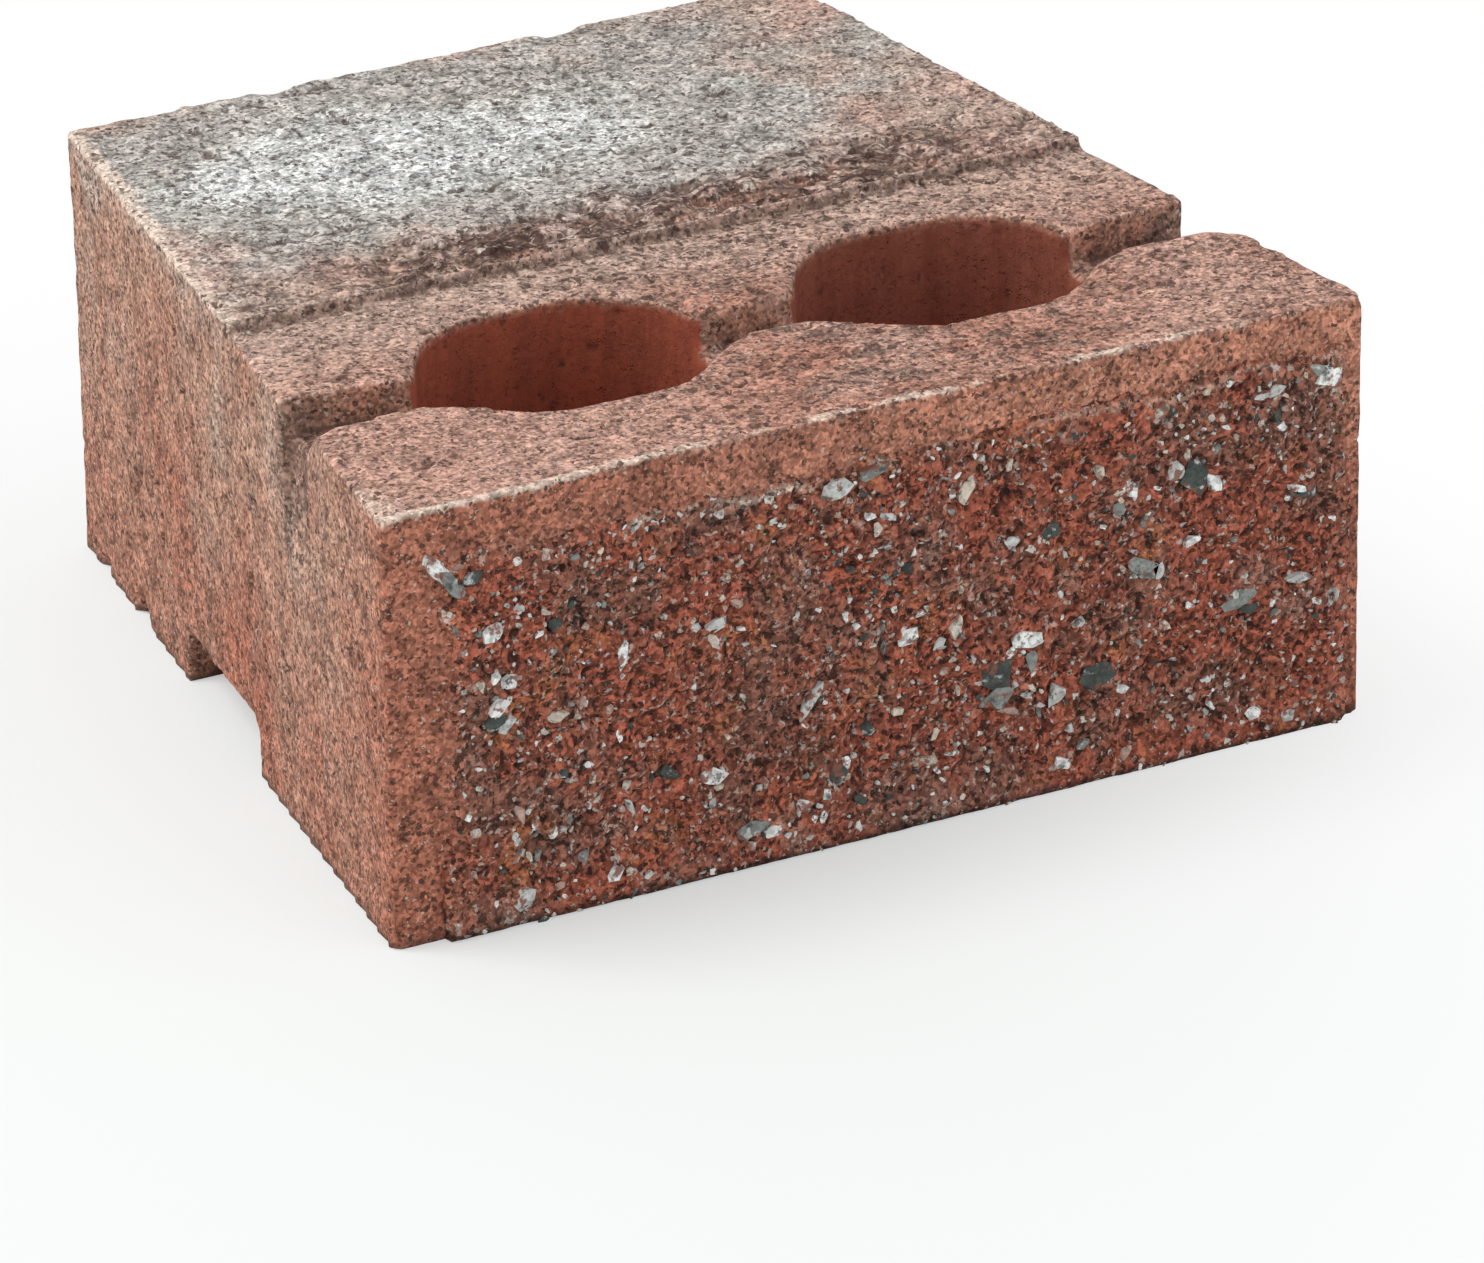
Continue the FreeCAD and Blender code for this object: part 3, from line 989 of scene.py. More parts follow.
    def surface(self, **inputs: object) -> bpy.types.Material:
        """Finish the material with a Principled shader."""
        named = {name.replace("_", " "): given for name, given in inputs.items()}
        shader = self.add("ShaderNodeBsdfPrincipled", {}, named)
        self.add("ShaderNodeOutputMaterial", {}, {"Surface": shader.outputs["BSDF"]})
        return self.material


# ---------------------------------------------------------------- finishes


@dataclass(frozen=True)
class Grain:
    """How strongly the sand shows in a finish."""

    fine: float = 1050.0
    coarse: float = 640.0
    dark: float = 0.20
    light: float = 1.85

    def shade(self, tree: MaterialTree, offset: float = 0.0) -> tuple[Value, Value]:
        """Lighter and darker grains.

        Args:
            tree: The material's nodes.
            offset: Moves the pattern.

        Returns:
            The grey that multiplies the colour, and the number behind it from 0 to 1.
        """
        mixed = tree.grains(self.fine, offset) * 0.6 + tree.grains(self.coarse, offset + 2.1) * 0.4
        low, high = self.dark, self.light
        stops = [
            (0.0, low),
            (0.25, low + 0.52 * (1.0 - low)),
            (0.5, 0.97),
            (0.75, 0.45 + 0.55 * high),
            (1.0, high),
        ]
        return tree.curve(mixed, stops), mixed


@dataclass(frozen=True)
class ConcreteFinish:
    """Red-brown pressed concrete: sandy grain, dark pits, pale arrises with a painted highlight, a lime
    bloom, and painted shade in hollows, before the crown and along the bottom edge.
    """

    moulded: Colour = (0.440, 0.248, 0.180)
    moulded_deep: Colour = (0.390, 0.142, 0.090)
    moulded_front: Colour = (0.375, 0.138, 0.088)
    moulded_fair: Colour = (0.470, 0.200, 0.132)
    tan: Colour = (0.45, 0.345, 0.285)
    deck: Colour = (0.480, 0.284, 0.224)
    deck_red: Colour = (0.375, 0.180, 0.130)
    crown: Colour = (0.46, 0.335, 0.275)
    crown_pink: Colour = (0.46, 0.290, 0.238)
    grey: Colour = (0.435, 0.405, 0.370)
    bloom: Colour = (0.63, 0.632, 0.610)
    crumb: Colour = (0.62, 0.520, 0.450)
    # Dark brown of crumbled patches, also used for painted shade before the crown's step, in the side notches
    # and on the groove floor.
    crumbled: Colour = (0.20, 0.130, 0.102)
    core: Colour = (0.39, 0.100, 0.056)
    core_dark: Colour = (0.25, 0.068, 0.042)
    core_brown: Colour = (0.31, 0.108, 0.072)
    # Pale colour of worn arrises, also used for a painted highlight along convex edges and the front top
    # edge.
    arris_and_highlight: Colour = (0.78, 0.620, 0.510)
    # Near-black of pits, also used for painted shade in hollows and along the bottom edge.
    pit_and_shade: Colour = (0.075, 0.040, 0.032)
    speck: Colour = (0.74, 0.610, 0.520)
    grain: Grain = Grain()

    def build(self, sizes: BlockSizes) -> bpy.types.Material:
        """Make the material.

        Args:
            sizes: Where the block's features lie.

        Returns:
            The concrete, which reads the point attributes of Zone.
        """
        tree = MaterialTree("pressed_concrete")
        face_only = (Zone.SPLIT, Zone.VALLEY_SHADE)
        zone = {item: tree.attribute(item.value) for item in Zone if item not in face_only}
        parts = tree.add("ShaderNodeSeparateXYZ", {}, {"Vector": tree.place})
        along, height = tree.value(parts, "Y"), tree.value(parts, "Z")
        outside = 1.0 - zone[Zone.INSIDE]

        across = tree.value(parts, "X")
        middle = tree.mask(across, -75 * MM, -5 * MM) * (1.0 - tree.mask(across, 25 * MM, 120 * MM) * 0.6)
        colour = self._sides(tree, sizes, across, along, height)
        colour = tree.blend(zone[Zone.DECK], colour, self._deck(tree, sizes, along, middle))
        on_crown = tree.mask(height, sizes.deck + 0.5 * MM, sizes.deck + 1.4 * MM)
        colour = tree.blend(on_crown, colour, self._crown(tree, zone))
        # Painted shade, in the dark crumbled colour, before the crown's step, in the side notches and on the
        # groove floor.
        colour = tree.blend(zone[Zone.STEP] * 0.7, colour, self.crumbled)
        streaks = tree.mask(tree.noise(150, 3, offset=6.6, stretch=(1.0, 1.0, 0.12)), 0.42, 0.66)
        core = tree.blend(tree.mask(across, -10 * MM, 20 * MM) * 0.7, self.core, self.core_brown)
        colour = tree.blend(zone[Zone.INSIDE], colour, tree.blend(streaks * 0.6, core, self.core_dark))
        mottle = tree.curve(tree.noise(135, 3, offset=12.0), [(0.34, 0.70), (0.5, 1.0), (0.66, 1.24)])
        colour = tree.blend(outside, colour, tree.blend(1.0, colour, mottle, "MULTIPLY"))

        shade, tone = self.grain.shade(tree)
        colour = tree.blend(outside * 0.85 + 0.15, colour, tree.blend(1.0, colour, shade, "MULTIPLY"))
        specks = tree.specks(640, 0.22, 0.34, offset=6.1)
        colour = tree.blend(specks * outside * 0.6, colour, self.speck)
        # Paler convex edges and front top edge: worn, with a painted highlight.
        wear_and_highlight = tree.mask(zone[Zone.WEAR_AND_HIGHLIGHT] + tone * 0.5, 0.60, 1.35)
        rubbed_and_highlight = tree.mask(zone[Zone.ARRIS_AND_HIGHLIGHT] + tone * 0.25, 0.30, 1.0)
        pale = (wear_and_highlight * 0.4 + rubbed_and_highlight * 0.8) * outside
        colour = tree.blend(pale, colour, tree.blend(0.6, self.arris_and_highlight, shade, "MULTIPLY"))
        # Painted shade in the hollows of the moulded surface.
        colour = tree.blend(tree.mask(zone[Zone.RECESS_SHADE], 0.15, 1.0) * 0.7, colour, self.pit_and_shade)
        fine_pits = tree.specks(560, 0.27, 0.40, offset=3.3)
        open_top = zone[Zone.GREY] * 0.7 + zone[Zone.DECK] * (0.35 + middle * 0.8)
        open_top = open_top + zone[Zone.CRUMBLE] * 0.8
        wide_pits = tree.specks(300, 0.34, 0.38, offset=7.7) * tree.mask(open_top, 0.05, 0.9)
        either = {0: fine_pits, 1: wide_pits}
        holes = tree.value(tree.add("ShaderNodeMath", {"operation": "MAXIMUM"}, either), 0)
        colour = tree.blend(holes * 0.8 * (1.0 - zone[Zone.INSIDE] * 0.9), colour, self.pit_and_shade)
        # Painted shade along the bottom edge, where the rounded foot turns under.
        foot = tree.mask(height, 1.0 * MM, 4.0 * MM)
        colour = tree.blend((1.0 - foot) * 0.6, colour, self.pit_and_shade)

        relief = tone * 0.8 + specks * 0.3 - holes * 1.2 + tree.noise(210, 3, offset=2.5) * 1.0
        return tree.surface(
            Base_Color=colour,
            Roughness=0.92,
            Specular_IOR_Level=0.2,
            Normal=tree.bump(relief, 0.55 * MM, 0.8),
        )

    def _sides(
        self, tree: MaterialTree, sizes: BlockSizes, across: Value, along: Value, height: Value
    ) -> Value:
        """Colour of the upright faces: paler above, redder below and in front."""
        patches = tree.mask(tree.noise(18, 3, offset=2.0), 0.38, 0.66)
        low = 1.0 - tree.mask(height, 20 * MM, 95 * MM)
        colour = tree.blend(patches * 0.55 + low * 0.45, self.moulded, self.moulded_deep)
        stain = tree.mask(tree.noise(38, 4, offset=5.0, stretch=(1.0, 1.0, 0.4)), 0.46, 0.66)
        dim = tree.mask(tree.noise(55, 4, offset=8.3, stretch=(1.0, 1.0, 0.5)), 0.52, 0.70)
        colour = tree.blend(dim * 0.35, colour, self.crumbled)
        rim = tree.mask(height + stain * 12 * MM, sizes.deck - 12 * MM, sizes.deck + 6 * MM)
        behind = tree.mask(along, sizes.crown_front - 20 * MM, sizes.crown_front + 30 * MM)
        colour = tree.blend(stain * (1.0 - low) * 0.45 + rim * behind * 0.5, colour, self.tan)
        fair = tree.mask(across, -130 * MM, 60 * MM) * tree.mask(height, 60 * MM, 110 * MM)
        moulded_front = tree.blend(fair, self.moulded_front, self.moulded_fair)
        front = 1.0 - tree.mask(along, sizes.front + 0.5 * MM, sizes.front + 3.5 * MM)
        near_front = 1.0 - tree.mask(along, sizes.front + 2 * MM, sizes.front + 45 * MM)
        colour = tree.blend(near_front * 0.45, colour, self.moulded_deep)
        return tree.blend(front * 0.85, colour, moulded_front)

    def _deck(self, tree: MaterialTree, sizes: BlockSizes, along: Value, middle: Value) -> Value:
        """Colour of the deck: tan at the back, redder in the middle."""
        reds = tree.mask(tree.noise(30, 3, offset=6.0), 0.34, 0.62)
        colour = tree.blend(reds * (0.25 + middle * 0.75), self.deck, self.deck_red)
        ledge = tree.mask(along, sizes.core_middle, sizes.crown_front)
        colour = tree.blend(ledge * 0.65, colour, self.tan)
        torn = tree.mask(tree.noise(120, 4, offset=15.0, stretch=(0.6, 1.0, 1.0)), 0.54, 0.61)
        return tree.blend(torn * middle * (0.75 - ledge * 0.5), colour, self.crumbled)

    def _crown(self, tree: MaterialTree, zone: dict[Zone, Value]) -> Value:
        """Colour of the crown: pinkish at the ends, grey and lime-white over the middle."""
        colour = tree.blend(tree.mask(tree.noise(30, 3, offset=3.0), 0.42, 0.66), self.crown, self.crown_pink)
        cloudy = tree.noise(55, 4, offset=7.0)
        colour = tree.blend(tree.mask(zone[Zone.GREY] * 0.9 + cloudy * 0.7, 0.45, 1.15), colour, self.grey)
        colour = tree.blend(tree.mask(zone[Zone.BLOOM] * 0.9 + cloudy * 0.8, 0.62, 1.50), colour, self.bloom)
        colour = tree.blend(zone[Zone.CRUMBLE] * 0.45, colour, self.crown_pink)
        # Dark patches and pits in the crumbled band, partly painted shade under its lumps.
        rough = tree.mask(tree.noise(78, 5, offset=4.0, stretch=(0.7, 1.0, 1.0)), 0.46, 0.52)
        colour = tree.blend(zone[Zone.CRUMBLE] * rough * 0.95, colour, self.crumbled)
        pits = tree.mask(tree.noise(150, 3, offset=9.5, stretch=(0.5, 1.0, 1.0)), 0.54, 0.60)
        colour = tree.blend(zone[Zone.CRUMBLE] * pits * 0.9, colour, self.pit_and_shade)
        # Pale crumbs in the crumbled band, partly a painted highlight on its lumps.
        crumbs = zone[Zone.CRUMBLE] * tree.specks(230, 0.26, 0.36, offset=5.5)
        colour = tree.blend(crumbs * 0.85, colour, self.crumb)
        gaps = tree.cracks(125, offset=3.1) * tree.mask(tree.noise(60, 3, offset=1.1), 0.44, 0.54)
        return tree.blend(gaps * zone[Zone.CRUMBLE] * 0.9, colour, self.pit_and_shade)


@dataclass(frozen=True)
class BrokenFinish:
    """Freshly broken concrete: dark red-brown cement full of sand, crumbs and small voids, with painted shade
    in its hollows and along the bottom edge.
    """

    red: Colour = (0.335, 0.094, 0.057)
    rust: Colour = (0.375, 0.125, 0.056)
    brown: Colour = (0.225, 0.108, 0.078)
    ash: Colour = (0.290, 0.205, 0.168)
    moulded: Colour = (0.365, 0.135, 0.085)
    ridge: Colour = (0.560, 0.430, 0.345)
    # Near-black of pits, also used for painted shade in hollows and along the bottom edge.
    pit_and_shade: Colour = (0.030, 0.016, 0.013)
    crumb: Colour = (0.640, 0.470, 0.385)
    salt: Colour = (0.800, 0.770, 0.720)
    grain: Grain = Grain(fine=900.0, coarse=520.0, dark=0.12, light=2.20)

    def build(self) -> bpy.types.Material:
        """Make the material, which reads the broken face's own attributes."""
        tree = MaterialTree("broken_concrete")
        hollow_shade, valley_shade = tree.attribute(Zone.RECESS_SHADE.value), tree.attribute(Zone.VALLEY_SHADE.value)
        colour = tree.blend(tree.mask(tree.noise(34, 4, offset=1.0), 0.44, 0.62) * 0.8, self.red, self.brown)
        colour = tree.blend(tree.mask(tree.noise(48, 3, offset=8.0), 0.56, 0.70) * 0.8, colour, self.rust)
        colour = tree.blend(tree.mask(tree.noise(40, 4, offset=4.4), 0.56, 0.72) * 0.55, colour, self.ash)
        rim = tree.attribute(Zone.WEAR_AND_HIGHLIGHT.value) * tree.mask(tree.noise(90, 3, offset=3.9), 0.30, 0.60)
        colour = tree.blend(rim * 0.75, colour, self.moulded)
        colour = tree.blend(tree.attribute(Zone.ARRIS_AND_HIGHLIGHT.value) * 0.8, colour, self.ridge)
        height = tree.value(tree.add("ShaderNodeSeparateXYZ", {}, {"Vector": tree.place}), "Z")
        # Painted shade along the bottom edge of the broken face.
        colour = tree.blend((1.0 - tree.mask(height, 1.0 * MM, 4.0 * MM)) * 0.75, colour, self.pit_and_shade)
        shade, tone = self.grain.shade(tree, offset=1.4)
        colour = tree.blend(1.0, colour, shade, "MULTIPLY")
        crumbs = tree.specks(520, 0.34, 0.37, offset=6.1)
        colour = tree.blend(crumbs * 0.75, colour, self.crumb)
        rich = tree.mask(tree.noise(30, 3, offset=2.7), 0.42, 0.62)
        salts = tree.specks(400, 0.17, 0.38, offset=5.2) * (0.35 + rich * 0.65)
        colour = tree.blend(salts * 0.9, colour, self.salt)
        # Painted shade in the narrow hollows of the broken face.
        colour = tree.blend(tree.mask(hollow_shade, 0.10, 0.90) * 0.7, colour, self.pit_and_shade)
        # Painted shade in the wide hollows of the broken face.
        colour = tree.blend(tree.mask(valley_shade, 0.2, 1.0) * 0.35, colour, self.pit_and_shade)
        pits = tree.specks(500, 0.36, 0.40, offset=3.3)
        colour = tree.blend(pits * 0.8, colour, self.pit_and_shade)
        relief = tone * 0.9 + crumbs * 0.5 + salts * 0.5 - pits * 1.3 + tree.noise(420, 3, offset=2.5) * 1.2
        return tree.surface(
            Base_Color=colour,
            Roughness=0.9,
            Specular_IOR_Level=0.25,
            Normal=tree.bump(relief, 0.95 * MM, 1.0),
        )


class Tone(Enum):
    """Kinds of stone, each with its place on the stone finish's scale of colours."""

    WHITE = 0.10
    PALE = 0.32
    GREY = 0.48
    DARK = 0.61
    CREAM = 0.76


@dataclass(frozen=True)
class StoneFinish:
    """Broken stone: white, grey, green-black, cream and pink, smeared with red cement."""

    colours: tuple[tuple[float, Colour], ...] = (
        (0.00, (0.88, 0.875, 0.850)),
        (0.23, (0.60, 0.600, 0.575)),
        (0.42, (0.27, 0.280, 0.262)),
        (0.55, (0.060, 0.072, 0.064)),
        (0.67, (0.68, 0.580, 0.480)),
        (0.86, (0.52, 0.340, 0.280)),
    )
    vein: Colour = (0.66, 0.665, 0.64)
    shadow: Colour = (0.075, 0.082, 0.075)
    smear: Colour = (0.25, 0.085, 0.055)

    def build(self) -> bpy.types.Material:
        """Make the material, which reads each stone's tone from the mesh."""
        tree = MaterialTree("broken_stone")
        colour = tree.curve(tree.attribute("tone"), self.colours, "CONSTANT")
        veins = tree.mask(tree.noise(260, 3, offset=1.5), 0.57, 0.66)
        colour = tree.blend(veins * 0.75, colour, self.vein)
        darks = tree.mask(tree.noise(240, 3, offset=6.5), 0.57, 0.67)
        colour = tree.blend(darks * 0.8, colour, self.shadow)
        shade, tone = Grain(fine=800, coarse=500, dark=0.5, light=1.3).shade(tree, offset=2.2)
        colour = tree.blend(1.0, colour, shade, "MULTIPLY")
        smears = tree.mask(tree.noise(210, 4, offset=4.5), 0.55, 0.62)
        colour = tree.blend(smears * 0.9, colour, self.smear)
        chips = tree.mask(tree.noise(430, 3, offset=9.2), 0.62, 0.68)
        colour = tree.blend(chips * 0.8, colour, self.shadow)
        relief = tree.noise(600, 3) + tree.noise(260, 2, offset=3.0) + tone * 0.4
        return tree.surface(
            Base_Color=colour,
            Roughness=0.65,
            Specular_IOR_Level=0.35,
            Normal=tree.bump(relief, 0.35 * MM, 0.8),
        )


# ---------------------------------------------------------------- the stones


@dataclass(frozen=True)
class StoneGrade:
    """One size of stone that is scattered over the broken face."""

    name: str
    radius: float
    per_square_metre: float
    seed: int


@dataclass(frozen=True)
class Stone:
    """One stone that stands out: its middle on the face, its size in millimetres, its lean."""

    across: float
    up: float
    length: float
    width: float
    lean: float
    tone: Tone
    lift: float = 0.9


class GeometryTree(Tree):
    """A geometry node group with named inputs."""

    def __init__(self, name: str) -> None:
        """Make a group with one geometry input and one geometry output."""
        super().__init__(bpy.data.node_groups.new(name, "GeometryNodeTree"))
        face = self.nodes.interface
        face.new_socket("Geometry", in_out="INPUT", socket_type="NodeSocketGeometry")
        face.new_socket("Geometry", in_out="OUTPUT", socket_type="NodeSocketGeometry")
        self.inlet = self.add("NodeGroupInput", {}, {})

    def number(self, name: str, kind: str, given: float) -> Value:
        """Add a named input.

        Args:
            name: What the input is called.
            kind: NodeSocketFloat or NodeSocketInt.
            given: Its default.

        Returns:
            The input's value inside the tree.
        """
        socket = self.nodes.interface.new_socket(name, in_out="INPUT", socket_type=kind)
        socket.default_value = given
        return self.value(self.inlet, name)

    def finish(self, geometry: bpy.types.NodeSocket) -> None:
        """Join the last geometry to the group's output."""
        self.add("NodeGroupOutput", {}, {"Geometry": geometry})

    def random(self, low: object, high: object, seed: object, kind: str = "FLOAT") -> Value:
        """A random value between two limits for each point."""
        node = self.add("FunctionNodeRandomValue", {"data_type": kind}, {})
        limits = [item for item in node.inputs if item.enabled and item.name in ("Min", "Max")]
        for socket, given in zip(limits, (low, high)):
            self.feed(socket, given)
        seeds = [item for item in node.inputs if item.enabled and item.name == "Seed"]
        self.feed(seeds[0], seed)
        return Value(self, [item for item in node.outputs if item.enabled][0])


@dataclass
class Stones:
    """Stones of the concrete that the split laid open."""

    sizes: BlockSizes
    shapes: int = 14
    corners: int = 15
    named_corners: int = 22
    depth: float = 3.0 * MM
    seat_radius: float = 3.0 * MM
    tip: float = 0.10
    cleft: float = 0.45
    spread: float = 1.12
    grades: tuple[StoneGrade, ...] = (
        StoneGrade("coarse", 3.6 * MM, 2700, 3),
        StoneGrade("middle", 2.2 * MM, 13500, 5),
        StoneGrade("fine", 1.3 * MM, 38000, 7),
    )
    named: tuple[Stone, ...] = (
        Stone(-133, 108, 17, 5, -54, Tone.WHITE, 1.4),
        Stone(-129, 103, 13, 6, -50, Tone.GREY),
        Stone(-124, 105, 8, 4, 20, Tone.DARK),
        Stone(-119, 88, 8, 5.5, 35, Tone.WHITE),
        Stone(-117.5, 66, 10, 4, 30, Tone.WHITE),
        Stone(-119, 62, 8, 6, 60, Tone.DARK),
        Stone(-115, 60, 7, 3.5, 50, Tone.PALE),
        Stone(-81, 73, 9, 4, 80, Tone.WHITE),
        Stone(-53, 76, 7, 5.5, 20, Tone.PALE),
        Stone(-66, 33, 8, 5, -30, Tone.DARK),
        Stone(-54, 30, 9, 5, -15, Tone.WHITE),
        Stone(-24, 45, 13, 3.6, 62, Tone.PALE),
        Stone(-17, 22, 10, 6, 70, Tone.DARK),
        Stone(-14.5, 24, 6, 3.5, 70, Tone.WHITE),
        Stone(-15, 107, 11, 6, 15, Tone.PALE),
        Stone(-4, 109, 10, 4, 18, Tone.GREY),
        Stone(25, 97, 10, 5, 70, Tone.CREAM),
        Stone(-84, 9, 8, 6, 10, Tone.WHITE),
        Stone(-112, 8, 8, 6, 55, Tone.PALE),
        Stone(-43, 11, 12, 5, 12, Tone.GREY),
        Stone(-37, 10, 6, 4, 0, Tone.WHITE),
        Stone(6, 57, 8, 6, 35, Tone.WHITE),
        Stone(21, 57, 8, 5, 75, Tone.CREAM),
        Stone(42, 49, 13, 6, -12, Tone.WHITE),
        Stone(33, 41, 16, 12, 70, Tone.DARK),
        Stone(34, 33, 9, 7, 30, Tone.GREY),
        Stone(64, 32, 12, 9, 10, Tone.DARK),
        Stone(52, 29, 9, 6, 40, Tone.PALE),
        Stone(49, 79, 9, 6, 60, Tone.DARK),
        Stone(73, 87, 8, 6, -35, Tone.WHITE),
        Stone(88, 88, 8, 6, 55, Tone.PALE),
        Stone(95, 85, 13, 10, -50, Tone.DARK),
        Stone(101, 82, 8, 5, -55, Tone.WHITE),
        Stone(78, 62, 11, 7, -25, Tone.GREY),
        Stone(83, 60, 8, 5, 60, Tone.PALE),
        Stone(94, 66, 6, 4, 10, Tone.WHITE),
        Stone(129, 74, 12, 6, 0, Tone.DARK),
        Stone(127, 75, 7, 3, -10, Tone.WHITE),
        Stone(137, 106, 9, 8, 20, Tone.WHITE),
        Stone(134, 109, 6, 4, -20, Tone.GREY),
        Stone(109, 45, 14, 6, 8, Tone.GREY),
        Stone(113, 41, 7, 4, 0, Tone.DARK),
        Stone(128, 47, 9, 5, 5, Tone.PALE),
        Stone(53, 9, 6, 6, 0, Tone.WHITE),
        Stone(113, 9, 6, 5, 60, Tone.WHITE),
        Stone(85, 107, 6, 4, 60, Tone.CREAM),
        Stone(118, 106, 10, 4, 10, Tone.PALE),
    )

    def build(self, face: bpy.types.Object, finish: bpy.types.Material) -> bpy.types.Object:
        """Seat the stones in the broken face.

        Args:
            face: The broken face, with its split attribute.
            finish: The stone.

        Returns:
            All stones as one plain mesh.
        """
        kinds = bpy.data.collections.new("stone_kinds")
        rng = np.random.default_rng(91)
        for number in range(self.shapes):
            chunk = self._chunk(rng, self.corners)
            kinds.objects.link(bpy.data.objects.new(f"stone_{number}", chunk))
        bed = self._bed(face)
        tree = self._tree(kinds, finish)
        parts = [self._scatter(bed, tree, grade) for grade in self.grades]
        ground = read_points(face.data)
        parts += [self._place(stone, ground, rng) for stone in self.named]
        whole = self._join(parts)
        keep_in_box(whole, self.sizes)
        whole.materials.clear()
        whole.materials.append(finish)
        LOG.info("stones: %d faces", len(whole.polygons))
        return link_mesh("face_stones", whole)

    @staticmethod
    def _chunk(rng: np.random.Generator, corners: int) -> bpy.types.Mesh:
        """A broken piece of stone about 2 across, as the hull of random corners."""
        places = rng.normal(size=(corners, 3))
        places /= np.linalg.norm(places, axis=1)[:, None]
        places *= rng.uniform(0.75, 1.0, (corners, 1))
        hull = bmesh.new()
        for place in places:
            hull.verts.new(place.tolist())
        result = bmesh.ops.convex_hull(hull, input=hull.verts)
        spare = {item for item in result["geom_interior"] if isinstance(item, bmesh.types.BMVert)}
        bmesh.ops.delete(hull, geom=list(spare), context="VERTS")
        bmesh.ops.recalc_face_normals(hull, faces=hull.faces)
        mesh = bpy.data.meshes.new("stone_kind")
        hull.to_mesh(mesh)
        hull.free()
        return mesh

    def _place(self, stone: Stone, ground: np.ndarray, rng: np.random.Generator) -> bpy.types.Mesh:
        """One named stone, half sunk in the face, whose points are given, at its place."""
        mesh = self._chunk(rng, self.named_corners)
        x, z = stone.across * MM, stone.up * MM
        near = np.hypot(ground[:, 0] - x, ground[:, 2] - z) < self.seat_radius
        front = np.percentile(ground[near, 1], 20)
        for vertex in mesh.vertices:
            vertex.co.y = max(vertex.co.y, -self.cleft)
        reach = self.spread * MM / 2
        tip = Matrix.Rotation(rng.uniform(-self.tip, self.tip), 4, "X")
        tip = tip @ Matrix.Rotation(rng.uniform(-self.tip, self.tip), 4, "Z")
        turn = Matrix.Rotation(math.radians(-stone.lean), 4, "Y")
        size = Matrix.Diagonal((stone.length * reach, self.depth, stone.width * reach, 1.0))
        seat = Matrix.Translation((x, front + self.cleft * self.depth - stone.lift * MM, z))
        mesh.transform(seat @ turn @ tip @ size)
        tone = mesh.attributes.new("tone", "FLOAT", "POINT")
        tone.data.foreach_set("value", [stone.tone.value] * len(mesh.vertices))
        return mesh

    @staticmethod
    def _join(parts: Sequence[bpy.types.Mesh]) -> bpy.types.Mesh:
        """Bring several meshes into one."""
        joined = bmesh.new()
        for part in parts:
            joined.from_mesh(part)
        mesh = bpy.data.meshes.new("face_stones")
        joined.to_mesh(mesh)
        joined.free()
        return mesh

    @staticmethod
    def _bed(face: bpy.types.Object) -> bpy.types.Mesh:
        """The part of the broken face that lies well inside its outline."""
        bed = bmesh.new()
        bed.from_mesh(face.data)
        split = bed.verts.layers.float[Zone.SPLIT.value]
        margin = [item for item in bed.faces if min(vert[split] for vert in item.verts) < 0.95]
        bmesh.ops.delete(bed, geom=margin, context="FACES")
        mesh = bpy.data.meshes.new("stone_bed")
        bed.to_mesh(mesh)
        bed.free()
        return mesh

    @staticmethod
    def _tree(kinds: bpy.types.Collection, finish: bpy.types.Material) -> bpy.types.NodeTree:
        """The group that scatters, turns and dresses the stones of one grade."""
        tree = GeometryTree("seat_stones")
        radius = tree.number("Radius", "NodeSocketFloat", 3 * MM)
        density = tree.number("Density", "NodeSocketFloat", 1000.0)
        seed = tree.number("Seed", "NodeSocketInt", 0)
        clouds = tree.add("ShaderNodeTexNoise", {"noise_dimensions": "3D"}, {"Scale": 26.0, "Detail": 2.0})
        limits = {"Value": clouds.outputs[0], 1: 0.34, 2: 0.66, 3: 0.12, 4: 1.0}
        share = tree.add("ShaderNodeMapRange", {}, limits)
        scatter = tree.add(
            "GeometryNodeDistributePointsOnFaces",
            {"distribute_method": "POISSON"},
            {
                "Mesh": tree.inlet.outputs["Geometry"],
                "Distance Min": radius * 1.1,
                "Density Max": density,
                "Density Factor": share.outputs[0],
                "Seed": seed,
            },
        )
        shapes = tree.add(
            "GeometryNodeCollectionInfo",
            {},
            {"Collection": kinds, "Separate Children": True, "Reset Children": True},
        )
        turn = tree.random((-0.5, 0.0, -0.5), (0.5, 6.283, 0.5), seed + 1, "FLOAT_VECTOR")
        size = tree.random((0.45, 0.45, 0.35), (1.25, 0.70, 0.85), seed + 2, "FLOAT_VECTOR")
        scale = tree.add("ShaderNodeVectorMath", {"operation": "SCALE"}, {0: size, "Scale": radius})
        placed = tree.add(
            "GeometryNodeInstanceOnPoints",
            {},
            {
                "Points": scatter.outputs["Points"],
                "Instance": shapes.outputs[0],
                "Pick Instance": True,
                "Rotation": turn,
                "Scale": scale.outputs[0],
            },
        )
        chance = tree.random(0.0, 1.0, seed + 3)
        toned = tree.add(
            "GeometryNodeStoreNamedAttribute",
            {"data_type": "FLOAT", "domain": "INSTANCE"},
            {"Geometry": placed.outputs["Instances"], "Name": "tone", "Value": chance},
        )
        real = tree.add("GeometryNodeRealizeInstances", {}, {"Geometry": toned.outputs["Geometry"]})
        dressed = tree.add("GeometryNodeSetMaterial", {}, {"Geometry": real.outputs[0], "Material": finish})
        tree.finish(dressed.outputs["Geometry"])
        return tree.nodes

